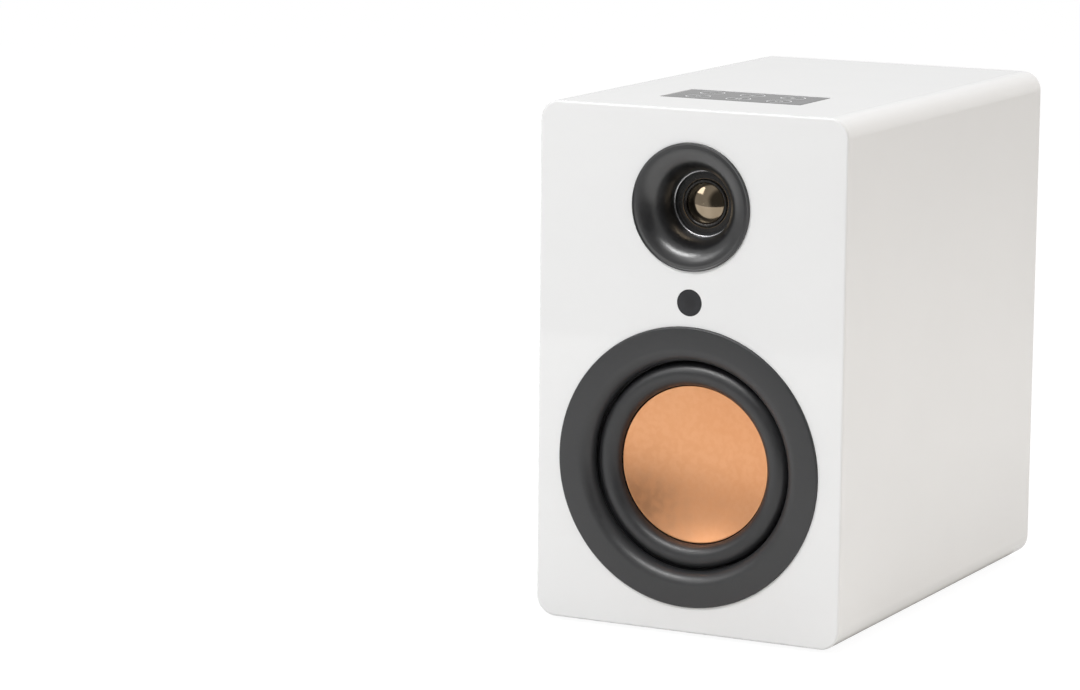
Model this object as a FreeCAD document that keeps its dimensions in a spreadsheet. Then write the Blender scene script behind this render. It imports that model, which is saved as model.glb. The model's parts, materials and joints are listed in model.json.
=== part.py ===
"""Powered two-way bookshelf speaker as a parametric assembly, in millimetres.

Frame: +X to the right of a person who faces the speaker's front, +Y from the front to the back, +Z up. The origin is on the surface it stands on, under the middle of the whole
speaker. Depths of parts are measured backwards from the cabinet's front face, heights from its underside.
"""
import FreeCAD, Part
import math
import os
import re

import Sketcher
from FreeCAD import Rotation, Vector

# Each size that can be set by itself has one cell of the sheet, under its name.
SIZES = {
    # cabinet
    "cabinet_depth": 256, "corner_radius": 10, "trim_side": 12.5, "trim_floor": 13, "tweeter_top": 48,
    "edge_radius": 1.2, "side_wall": 12, "baffle_thickness": 15, "rear_thickness": 15,
    "foot_height": 2, "foot_radius": 8, "foot_inset": 24,
    "brace_depth": 110, "brace_thickness": 12, "brace_rim": 14, "brace_bar": 16, "brace_bar_height": 140,
    "pad_thickness": 8, "pad_near": 24, "pad_length": 80, "pad_bottom": 20, "pad_height": 120,
    # clearances: beside a part in its recess, round a soft part, and round a screw
    "fit_gap": 0.15, "soft_gap": 0.3, "hole_gap": 0.1,
    # a screw head: its crown and its rim as shares of its radius and height
    "head_crown": 0.6, "head_rim": 0.4,
    # woofer, on its own axis
    "trim_radius": 70, "trim_proud": 1.2, "trim_edge": 0.6,
    "trim_throat": 52.5, "trim_roll": 7.1, "trim_wall": 1.8, "trim_skirt": 1.8,
    "flange_front": 3.2, "flange_thickness": 2.3, "gasket_thickness": 1, "gasket_gap": 1,
    "basket_radius": 60, "basket_wall": 2, "seat_radius": 50.8, "seat_depth": 9.6, "seat_thickness": 2.2,
    "shelf_depth": 33.4, "shelf_thickness": 2.2, "shelf_inner": 34, "shelf_outer": 42, "basket_base": 46.4,
    "base_thickness": 2.4, "neck_wall": 2.4, "base_bore": 15.5,
    "window_near": 42.5, "window_far": 54.5, "window_angle": 38, "window_start": 13,
    "dish_radius": 39.5, "dish_depth": 8.9, "dish_hollow": 6.5, "dish_thickness": 0.6,
    "roll_radius": 6, "roll_skin": 0.7, "glue_width": 5.2, "glue_line": 0.05,
    "cone_neck_depth": 28, "cone_neck_length": 3,
    "cone_thickness": 0.8, "cone_lip": 1.4, "spoke_wall": 4,
    "former_radius": 12.7, "former_wall": 0.3, "former_front": 24,
    "coil_wire": 0.7, "coil_length": 10, "plate_radius": 37, "plate_thickness": 5, "plate_bore": 14.2,
    "magnet_radius": 40, "magnet_bore": 20, "magnet_thickness": 14, "pole_radius": 12.3, "pole_vent": 4,
    "spider_radius": 37, "spider_thickness": 0.8,
    "woofer_screw_circle": 64, "woofer_screw_radius": 1.9, "woofer_head_radius": 3.4,
    "woofer_head_height": 1.8, "woofer_screw_length": 11,
    "board_width": 18, "board_reach": 20, "board_thickness": 1.6, "blade_width": 4.8, "blade_length": 8,
    "blade_thickness": 0.8, "blade_spacing": 12, "flex_radius": 0.6,
    # tweeter, on its own axis
    "tweeter_rise": 47, "guide_radius": 31.5, "guide_proud": 1.2, "guide_edge": 0.5,
    "guide_mouth": 29.5, "guide_throat": 16.3, "guide_stand": 1.5, "guide_turn": 55, "guide_wall": 2.5,
    "guide_gasket": 0.7, "guide_foot": 2.5, "guide_foot_radius": 25.8, "tweeter_cutout": 27.2,
    "frame_radius": 34, "frame_stand": 2.5, "film_step": 0.4, "film_thickness": 0.25,
    "film_radius": 14.6, "dome_radius": 9.8, "dome_rise": 2.4, "dome_roll": 0.95, "frame_bore": 12.4,
    "tweeter_coil_wall": 0.45, "tweeter_coil_length": 6.5, "pot_radius": 16.5, "pot_lip_radius": 19.5,
    "pot_lip": 3, "pot_bore": 10.7, "pot_cavity": 12.5, "pot_depth": 11, "pot_base": 3,
    "tip_radius": 9.2, "tip_thickness": 2.5, "disc_radius": 8.8, "tweeter_screw_circle": 22.6,
    "tweeter_screw_radius": 1.4, "tweeter_head_radius": 2.5, "tweeter_head_height": 1.6,
    "tweeter_screw_length": 4.7, "lug_width": 14, "lug_height": 5,
    # remote control window
    "window_gap": 12, "remote_radius": 6.58, "remote_thickness": 3, "receiver_size": 6,
    "receiver_depth": 5, "remote_board_width": 22, "remote_board_height": 16, "remote_board_thickness": 1.2,
    # touch panel in the top
    "glass_width": 76.3, "glass_length": 38.2, "glass_thickness": 1.8, "glass_near": 42.5,
    "adhesive_thickness": 0.3, "touch_ledge": 4, "touch_board_thickness": 1.2, "touch_board_gap": 1,
    "ribbon_width": 8, "ribbon_thickness": 0.4, "ribbon_side": 26, "ribbon_run_height": 232,
    "ribbon_drop_depth": 205, "ribbon_fall": 12, "ribbon_inset": 10,
    "lead_inset": 6,
    # reflex port
    "port_height": 206, "port_radius": 17, "port_wall": 2, "port_length": 120, "port_flare": 10,
    "port_flange": 3,
    # amplifier module in the back
    "bay_width": 112, "bay_height": 150, "bay_middle": 95, "bay_depth": 10, "bay_ledge": 6, "bay_corner": 4,
    "amp_plate_thickness": 2, "amp_gasket": 0.8, "amp_screw_radius": 1.5, "amp_screw_length": 6,
    "amp_head_radius": 2.5, "amp_head_height": 1.4, "amp_screw_share": 0.34,
    "post_length": 13, "post_radius": 2.5, "board_side_gap": 2, "board_margin": 6,
    "board_parting": 8, "board_sheet": 1.6, "post_inset": 5,
    "sink_width": 52, "sink_height": 26, "sink_depth": 24, "sink_base": 4, "sink_fin": 1.6, "sink_fins": 8,
    "sink_side": 16, "sink_drop": 14,
    "core_width": 30, "core_height": 26, "core_depth": 24, "core_side": 20, "winding_width": 19,
    "winding_height": 15.6, "winding_bulge": 3,
    "big_can_radius": 8, "big_can_length": 25, "big_can_side": 16, "big_can_spacing": 20,
    "small_can_radius": 5, "small_can_length": 12, "small_can_side": 8, "small_can_spacing": 14, "can_rise": 8,
    "module_width": 18, "module_height": 13, "module_thickness": 3, "module_side": 31, "module_drop": 20,
    "inlet_width": 24, "inlet_height": 17, "inlet_body_width": 20, "inlet_body_height": 13,
    "bezel_thickness": 1.8, "inlet_mouth_width": 15.6, "inlet_mouth_height": 8.6, "inlet_mouth_depth": 11,
    "pin_radius": 1.2, "pin_spacing": 6.6, "pin_length": 8,
    "switch_width": 15, "switch_height": 21, "switch_body_width": 13, "switch_body_height": 19,
    "switch_wall": 1, "pivot_radius": 1, "pivot_gap": 0.05,
    "rocker_thickness": 6.4, "rocker_tilt": 9, "rocker_notch": 1.4,
    "jack_radius": 4.15, "jack_bore": 1.6, "jack_reach": 6.8, "jack_body": 11, "jack_spacing": 18,
    "aux_radius": 4, "aux_bore": 1.8, "aux_reach": 1.2, "aux_body": 9,
    "button_radius": 3, "button_reach": 2, "button_stem": 4, "button_travel": 0.8, "button_body": 7,
    "slider_width": 3, "slider_height": 3.4, "slider_reach": 2, "slider_travel": 4, "slider_body_width": 12,
    "slider_body_height": 6, "socket_side": 28, "socket_rise": 25, "input_drop": 41,
    "lead_radius": 1,
}

# Sizes that follow from others: the front has to hold the trim ring, the window and the tweeter above it.
TIED = {
    "cabinet_width": "2 * (trim_radius + trim_side)",
    "woofer_height": "trim_radius + trim_floor",
    "window_height": "woofer_height + trim_radius + window_gap",
    "tweeter_height": "window_height + tweeter_rise",
    "cabinet_height": "tweeter_height + tweeter_top",
}

# Places that several parts share, as formulas of the sizes.
FRONT = "((trim_proud - cabinet_depth) / 2)"
REAR_INSIDE = "(cabinet_depth - rear_thickness)"
ROOM = "(cabinet_width - 2 * side_wall)"
BRACE_BACK = "(brace_depth + brace_thickness)"
REBATE = "(flange_front + flange_thickness + gasket_thickness)"
FLANGE_RADIUS = "(trim_radius - trim_skirt - soft_gap)"
FLANGE_BACK = "(flange_front + flange_thickness)"
COIL_MIDDLE = "(basket_base + plate_thickness / 2)"
FORMER_OUTER = "(former_radius + former_wall)"
FORMER_BACK = f"({COIL_MIDDLE} + coil_length / 2)"
PLATE_BACK = "(basket_base + plate_thickness)"
MAGNET_BACK = f"({PLATE_BACK} + magnet_thickness)"
GUIDE_BACK = "(guide_wall - guide_proud)"
GUIDE_REBATE = f"({GUIDE_BACK} + guide_gasket)"
GUIDE_DEPTH = "(baffle_thickness + guide_stand)"
FILM_DEPTH = f"({GUIDE_DEPTH} + film_step)"
FRAME_BACK = f"({GUIDE_DEPTH} + frame_stand)"
POT_BACK = f"({FRAME_BACK} + pot_depth)"
LEDGE = "(cabinet_depth - bay_depth)"
PLATE_INSIDE = f"({LEDGE} + amp_gasket)"
PLATE_OUTSIDE = f"({PLATE_INSIDE} + amp_plate_thickness)"
BOARD_BACK = f"({PLATE_INSIDE} - post_length)"
BOARD_FRONT = f"({BOARD_BACK} - board_sheet)"
BOARD_WIDTH = "(bay_width - 2 * (bay_ledge + board_side_gap))"
BOARD_HEIGHT = "((bay_height - 2 * bay_ledge - board_parting) / 2 - board_margin)"
AMP_BOARD_MIDDLE = f"(bay_middle + ({BOARD_HEIGHT} + board_parting) / 2)"
AMP_BOARD_TOP = f"({AMP_BOARD_MIDDLE} + {BOARD_HEIGHT} / 2)"
POWER_BOARD_MIDDLE = f"(bay_middle - ({BOARD_HEIGHT} + board_parting) / 2)"
SOCKET_HEIGHT = "(bay_middle - bay_height / 2 + socket_rise)"
INPUT_HEIGHT = "(bay_middle + bay_height / 2 - input_drop)"
GLASS_MIDDLE = "(glass_near + glass_length / 2)"
LEDGE_TOP = "(cabinet_height - glass_thickness - adhesive_thickness)"
TOUCH_WINDOW_WIDTH = "(glass_width - 2 * touch_ledge)"
TOUCH_WINDOW_LENGTH = "(glass_length - 2 * touch_ledge)"

doc = FreeCAD.newDocument("bookshelf_speaker")
sheet = doc.addObject("Spreadsheet::Sheet", "Size")
CELLS = SIZES | {alias: f"={formula}" for alias, formula in TIED.items()}
for row, (alias, content) in enumerate(CELLS.items(), start=1):
    sheet.set(f"A{row}", alias)
    sheet.set(f"B{row}", str(content))
    sheet.setAlias(f"B{row}", alias)
doc.recompute()

nodes = []


# ---------------------------------------------------------------- how things are bound and drawn
def number(formula):
    """The value of a formula of the sheet's sizes."""
    return float(sheet.evalExpression(formula))


def bind(thing, field, formula):
    """Ties one property of an object to a formula, with each size read from its cell."""
    named = re.sub("[a-z_]+", lambda word: f"Size.{word[0]}" if word[0] in CELLS else word[0], formula)
    thing.setExpression(field, named)


def place(thing, at):
    """Sets an object on the point whose three coordinates are formulas."""
    for axis, formula in zip("xyz", at):
        bind(thing, f"Placement.Base.{axis}", formula)
    return thing


def from_front(x, depth, height):
    """A point given across, back from the front face and up from the cabinet's underside."""
    return (x, f"{FRONT} + {depth}", f"foot_height + {height}")


def node(thing, label):
    """Names an object as one of the speaker's pieces."""
    thing.Label = label
    nodes.append(thing)
    return thing


def primitive(kind, at, **fields):
    """A Part primitive with its fields bound to formulas, on a point."""
    thing = doc.addObject(kind, kind.split("::")[1])
    for field, formula in fields.items():
        bind(thing, field, formula)
    return place(thing, at)


def block(x, depth, height, width, length, tall):
    """A box centred across and upwards on a point, reaching back from it."""
    at = from_front(f"{x} - {width} / 2", depth, f"{height} - {tall} / 2")
    return primitive("Part::Box", at, Length=width, Width=length, Height=tall)


def rod(x, depth, height, radius, length):
    """A cylinder along Y that starts at a depth and reaches back."""
    thing = primitive("Part::Cylinder", from_front(x, depth, height), Radius=radius, Height=length)
    thing.Placement.Rotation = Rotation(Vector(1, 0, 0), -90)
    return thing


def group(things):
    """Separate solids held as one object."""
    thing = doc.addObject("Part::Compound", "Group")
    thing.Links = things
    return thing


def fused(things):
    """One solid made of several that overlap."""
    thing = doc.addObject("Part::MultiFuse", "Fused")
    thing.Shapes = things
    return thing


def cut(base, tools):
    """A solid with others taken out of it."""
    thing = doc.addObject("Part::Cut", "Cut")
    thing.Base = base
    thing.Tool = tools[0] if len(tools) == 1 else fused(tools)
    return thing


def new_body(at):
    """An empty PartDesign body on a point."""
    return place(doc.addObject("PartDesign::Body", "Body"), at)


def draw(body, plane, outlines, offset="0"):
    """A sketch of closed outlines on one of the body's origin planes, moved along its normal.

    An outline is a circle, (x, y, radius), or a list of corners. A corner is (x, y) at the end of a straight
    run, or (x, y, centre_x, centre_y) at the end of an arc of less than half a turn about a centre.
    """
    sketch = body.newObject("Sketcher::SketchObject", "Sketch")
    support = [feature for feature in body.Origin.OriginFeatures if feature.Role == plane]
    sketch.AttachmentSupport = (support[0], [""])
    sketch.MapMode = "FlatFace"
    if offset != "0":
        bind(sketch, "AttachmentOffset.Base.z", offset)
    for outline in outlines:
        if isinstance(outline, tuple):
            draw_circle(sketch, *outline)
        else:
            draw_outline(sketch, outline)
    return sketch


def hold(sketch, kind, *what):
    """Adds a dimension whose last word is a formula, bound to the sheet."""
    *geometry, formula = what
    index = sketch.addConstraint(Sketcher.Constraint(kind, *geometry, number(formula)))
    bind(sketch, f"Constraints[{index}]", formula)


def draw_circle(sketch, x, y, radius):
    """A dimensioned circle."""
    centre = Vector(number(x), number(y), 0)
    index = sketch.addGeometry(Part.Circle(centre, Vector(0, 0, 1), number(radius)))
    hold(sketch, "Radius", index, radius)
    hold(sketch, "DistanceX", index, 3, x)
    hold(sketch, "DistanceY", index, 3, y)


def draw_outline(sketch, corners):
    """A closed chain of straight runs and arcs, dimensioned at each corner and each arc's centre."""
    points = [Vector(number(corner[0]), number(corner[1]), 0) for corner in corners]
    ends = []
    for index, corner in enumerate(corners):
        start, end = points[index - 1], points[index]
        if len(corner) == 2:
            ends.append((sketch.addGeometry(Part.LineSegment(start, end)), 1, 2))
            continue
        centre = Vector(number(corner[2]), number(corner[3]), 0)
        anticlockwise = (start - centre).cross(end - centre).z > 0
        near, far = (start, end) if anticlockwise else (end, start)
        angles = [math.atan2(point.y - centre.y, point.x - centre.x) for point in (near, far)]
        circle = Part.Circle(centre, Vector(0, 0, 1), (end - centre).Length)
        geometry = sketch.addGeometry(Part.ArcOfCircle(circle, *angles))
        ends.append((geometry, 1, 2) if anticlockwise else (geometry, 2, 1))
    for index, corner in enumerate(corners):
        geometry, _, finish = ends[index]
        following, begin, _ = ends[(index + 1) % len(corners)]
        sketch.addConstraint(Sketcher.Constraint("Coincident", geometry, finish, following, begin))
        hold(sketch, "DistanceX", geometry, finish, corner[0])
        hold(sketch, "DistanceY", geometry, finish, corner[1])
        if len(corner) == 4:
            chord = points[index] - points[index - 1]
            if abs(chord.x) > abs(chord.y):
                hold(sketch, "DistanceY", geometry, 3, corner[3])
            else:
                hold(sketch, "DistanceX", geometry, 3, corner[2])


def feature(body, kind, sketch, **fields):
    """A PartDesign feature on a sketch; formulas are bound and other values are set."""
    thing = body.newObject(f"PartDesign::{kind}", kind)
    thing.Profile = (sketch, [""])
    for field, given in fields.items():
        if isinstance(given, str):
            bind(thing, field, given)
        else:
            setattr(thing, field, given)
    return thing


def pad(body, outlines, length, plane="XZ_Plane", offset="0"):
    """Material from a plane: back along +Y from XZ, up from XY."""
    sketch = draw(body, plane, outlines, offset)
    return feature(body, "Pad", sketch, Length=length, Reversed=plane == "XZ_Plane")


def pocket(body, outlines, length, plane="XZ_Plane", offset="0"):
    """Takes material away from a plane, back along +Y from XZ and downwards from XY."""
    doc.recompute()
    before = body.Shape.Volume
    sketch = draw(body, plane, outlines, offset)
    thing = feature(body, "Pocket", sketch, Length=length)
    doc.recompute()
    if body.Shape.Volume >= before:
        raise ValueError(f"the pocket in {body.Name} cuts nothing")
    return thing


def around(body, original, axis, count):
    """Repeats a feature evenly round an axis of its sketch."""
    pattern = body.newObject("PartDesign::PolarPattern", "Pattern")
    pattern.Originals = [original]
    pattern.Axis = (original.Profile[0], [axis])
    pattern.Angle = 360
    pattern.Occurrences = count
    body.Tip = pattern
    return pattern


def rounded(width, height, radius, x="0", y="0"):
    """A rectangle with round corners about a point, anticlockwise from its lower right."""
    left, right = f"{x} - {width} / 2", f"{x} + {width} / 2"
    low, high = f"{y} - {height} / 2", f"{y} + {height} / 2"
    inner_left, inner_right = f"{left} + {radius}", f"{right} - {radius}"
    inner_low, inner_high = f"{low} + {radius}", f"{high} - {radius}"
    return [
        (inner_right, low),
        (right, inner_low, inner_right, inner_low),
        (right, inner_high),
        (inner_right, high, inner_right, inner_high),
        (inner_left, high),
        (left, inner_high, inner_left, inner_high),
        (left, inner_low),
        (inner_left, low, inner_left, inner_low),
    ]


def rectangle(width, height, x="0", y="0"):
    """A plain rectangle about a point."""
    left, right = f"{x} - {width} / 2", f"{x} + {width} / 2"
    low, high = f"{y} - {height} / 2", f"{y} + {height} / 2"
    return [(left, low), (right, low), (right, high), (left, high)]


def turned(label, height, outline):
    """A piece turned about the Y axis at a height, drawn as (radius, depth) behind the front face."""
    body = new_body(from_front("0", "0", height))
    sketch = draw(body, "XY_Plane", [outline])
    feature(body, "Revolution", sketch, ReferenceAxis=(sketch, ["V_Axis"]), Angle=360.0)
    return node(body, label)


def ring(label, height, inner, outer, near, far):
    """A flat-faced ring or disc about the Y axis."""
    return turned(label, height, [(inner, near), (outer, near), (outer, far), (inner, far)])


def round_edges(body, radius, at_depth):
    """Rounds the edges of a panel's outline that lie at one depth of its own frame."""
    doc.recompute()
    base = body.Tip
    depth = number(at_depth)
    names = [
        f"Edge{index}"
        for index, edge in enumerate(base.Shape.Edges, start=1)
        if max(abs(vertex.Point.y - depth) for vertex in edge.Vertexes) < 1e-6
    ]
    fillet = body.newObject("PartDesign::Fillet", "Fillet")
    fillet.Base = (base, names)
    bind(fillet, "Radius", radius)


def circle_of(count, circle, radius, first=45):
    """Round holes spaced evenly on a circle about the sketch's origin."""
    angles = [first + 360 * index / count for index in range(count)]
    return [(f"{circle} * cos({angle})", f"{circle} * sin({angle})", radius) for angle in angles]


def lifted(outlines, height):
    """Circles moved up the sketch by a height."""
    return [(x, f"{y} + {height}", radius) for x, y, radius in outlines]


def screws(label, points, depth, head, shank, way):
    """Round-headed screws along Y, one solid each; way is 1 if they point backwards and -1 if forwards.

    The heads bear at a depth. The head and the shank are each a radius and a length.
    """
    under, top = "0", f"{-way} * {head[1]}"
    outline = [
        ("0", f"{way} * {shank[1]}"),
        (shank[0], f"{way} * {shank[1]}"),
        (shank[0], under),
        (head[0], under),
        (head[0], f"{top} * head_rim"),
        (f"{head[0]} * head_crown", top),
        ("0", top),
    ]
    master = doc.addObject("PartDesign::Body", "Screw")
    sketch = draw(master, "XY_Plane", [outline])
    feature(master, "Revolution", sketch, ReferenceAxis=(sketch, ["V_Axis"]), Angle=360.0)
    copies = []
    for x, height in points:
        copy = doc.addObject("App::Link", "ScrewCopy")
        copy.LinkedObject = master
        copies.append(place(copy, from_front(x, depth, height)))
    return node(group(copies), label)


def tube(points, section_at):
    """A solid swept along straight runs joined by tangent arcs, from a section wire at its first point.

    Each arc is as large as its two runs allow: 0.45 of the shorter run over the tangent of half its turn.
    """
    places = [Vector(*(number(formula) for formula in from_front(*point))) for point in points]
    edges = []
    last = places[0]
    for before, corner, after in zip(places, places[1:], places[2:]):
        inward, outward = (corner - before).normalize(), (after - corner).normalize()
        reach = 0.45 * min(before.distanceToPoint(corner), corner.distanceToPoint(after))
        turn = inward.getAngle(outward)
        radius = reach / math.tan(turn / 2)
        enter, leave = corner - inward * reach, corner + outward * reach
        towards = (outward - inward).normalize()
        middle = corner + towards * (math.hypot(radius, reach) - radius)
        edges.append(Part.LineSegment(last, enter).toShape())
        edges.append(Part.Arc(enter, middle, leave).toShape())
        last = leave
        print(f"lead: arc radius {radius:.1f}")
    edges.append(Part.LineSegment(last, places[-1]).toShape())
    path = Part.Wire(edges)
    section = section_at(places[0], places[1] - places[0])
    solid = path.makePipeShell([section], True, False)
    expected = Part.Face(section).Area * path.Length
    if abs(solid.Volume / expected - 1) > 0.02:
        raise ValueError(f"a lead's volume is {solid.Volume:.1f}, not {expected:.1f}")
    return solid


def round_section(radius):
    """A circular section of a lead, as a function of its first point and its direction there."""
    return lambda point, along: Part.Wire(Part.makeCircle(number(radius), point, along))


def flat_section(width, thickness):
    """A ribbon's section, wide across X, where the ribbon starts out downwards."""
    def section(point, _along):
        half_width, half_thickness = number(width) / 2, number(thickness) / 2
        corners = [(-1, -1), (1, -1), (1, 1), (-1, 1), (-1, -1)]
        return Part.makePolygon([point + Vector(x * half_width, y * half_thickness, 0) for x, y in corners])
    return section


def leads(label, routes):
    """Leads that share a node, each a route of points and the section swept along it."""
    thing = doc.addObject("Part::Feature", "Leads")
    thing.Shape = Part.makeCompound([tube(points, section) for points, section in routes])
    return node(thing, label)


# ---------------------------------------------------------------- cabinet
def cabinet():
    """The wrapped tube, the two end panels, the brace between them, the pads and the feet."""
    outline = rounded("cabinet_width", "cabinet_height", "corner_radius", y="cabinet_height / 2")
    inside = rectangle(ROOM, "( cabinet_height - 2 * side_wall )", y="cabinet_height / 2")

    shell = new_body(from_front("0", "baffle_thickness", "0"))
    pad(shell, [outline, inside], f"{REAR_INSIDE} - baffle_thickness")
    middle = f"{GLASS_MIDDLE} - baffle_thickness"
    recess = rectangle("( glass_width + 2 * fit_gap )", "( glass_length + 2 * fit_gap )", y=middle)
    pocket(shell, [recess], f"cabinet_height - {LEDGE_TOP}", "XY_Plane", "cabinet_height")
    window = rectangle(TOUCH_WINDOW_WIDTH, TOUCH_WINDOW_LENGTH, y=middle)
    pocket(shell, [window], "side_wall", "XY_Plane", "cabinet_height")
    node(shell, "cabinet_shell")

    baffle = new_body(from_front("0", "0", "0"))
    pad(baffle, [outline], "baffle_thickness")
    round_edges(baffle, "edge_radius", "0")
    pocket(baffle, [("0", "woofer_height", "trim_radius + fit_gap")], REBATE)
    pocket(baffle, [("0", "woofer_height", "basket_radius + fit_gap * 3")], "baffle_thickness")
    pocket(baffle, [("0", "tweeter_height", "guide_radius + fit_gap")], GUIDE_REBATE)
    pocket(baffle, [("0", "tweeter_height", "tweeter_cutout")], "baffle_thickness")
    pocket(baffle, [("0", "window_height", "remote_radius + hole_gap")], "baffle_thickness")
    holes = circle_of(4, "woofer_screw_circle", "woofer_screw_radius + hole_gap")
    pocket(baffle, lifted(holes, "woofer_height"), "baffle_thickness")
    node(baffle, "front_baffle")

    back = new_body(from_front("0", REAR_INSIDE, "0"))
    pad(back, [outline], "rear_thickness")
    round_edges(back, "edge_radius", "rear_thickness")
    bay = rounded("bay_width", "bay_height", "bay_corner", y="bay_middle")
    pocket(back, [bay], "bay_depth", offset="bay_depth - rear_thickness")
    opening = rectangle("( bay_width - 2 * bay_ledge )", "( bay_height - 2 * bay_ledge )", y="bay_middle")
    pocket(back, [opening], "rear_thickness")
    pocket(back, [("0", "port_height", "port_radius + port_flare + fit_gap")], "rear_thickness")
    flange = "port_radius + port_flare + port_flange + fit_gap"
    pocket(back, [("0", "port_height", flange)], "port_wall", offset="port_wall - rear_thickness")
    pilots = [(x, height, "amp_screw_radius + hole_gap") for x, height in plate_screw_points()]
    pocket(back, pilots, "rear_thickness")
    node(back, "rear_panel")

    brace = new_body(from_front("0", "brace_depth", "0"))
    width = f"( {ROOM} - 2 * brace_rim )"
    floor, ceiling = "( side_wall + brace_rim )", "( cabinet_height - side_wall - brace_rim )"
    lower = f"( brace_bar_height - {floor} )"
    upper = f"( {ceiling} - brace_bar_height - brace_bar )"
    pad(brace, [
        inside,
        rectangle(width, lower, y=f"{floor} + {lower} / 2"),
        rectangle(width, upper, y=f"{ceiling} - {upper} / 2"),
    ], "brace_thickness")
    node(brace, "window_brace")

    pads = [
        block(f"{side} * ( {ROOM} / 2 - soft_gap - pad_thickness / 2 )", "pad_near",
              "( pad_bottom + pad_height / 2 )", "pad_thickness", "pad_length", "pad_height")
        for side in (-1, 1)
    ]
    node(group(pads), "damping_pads")

    feet = []
    for x in ("- ( cabinet_width / 2 - foot_inset )", "cabinet_width / 2 - foot_inset"):
        for depth in ("foot_inset", "( cabinet_depth - foot_inset )"):
            at = from_front(x, depth, "0 - foot_height")
            feet.append(primitive("Part::Cylinder", at, Radius="foot_radius", Height="foot_height"))
    node(group(feet), "rubber_feet")


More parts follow.
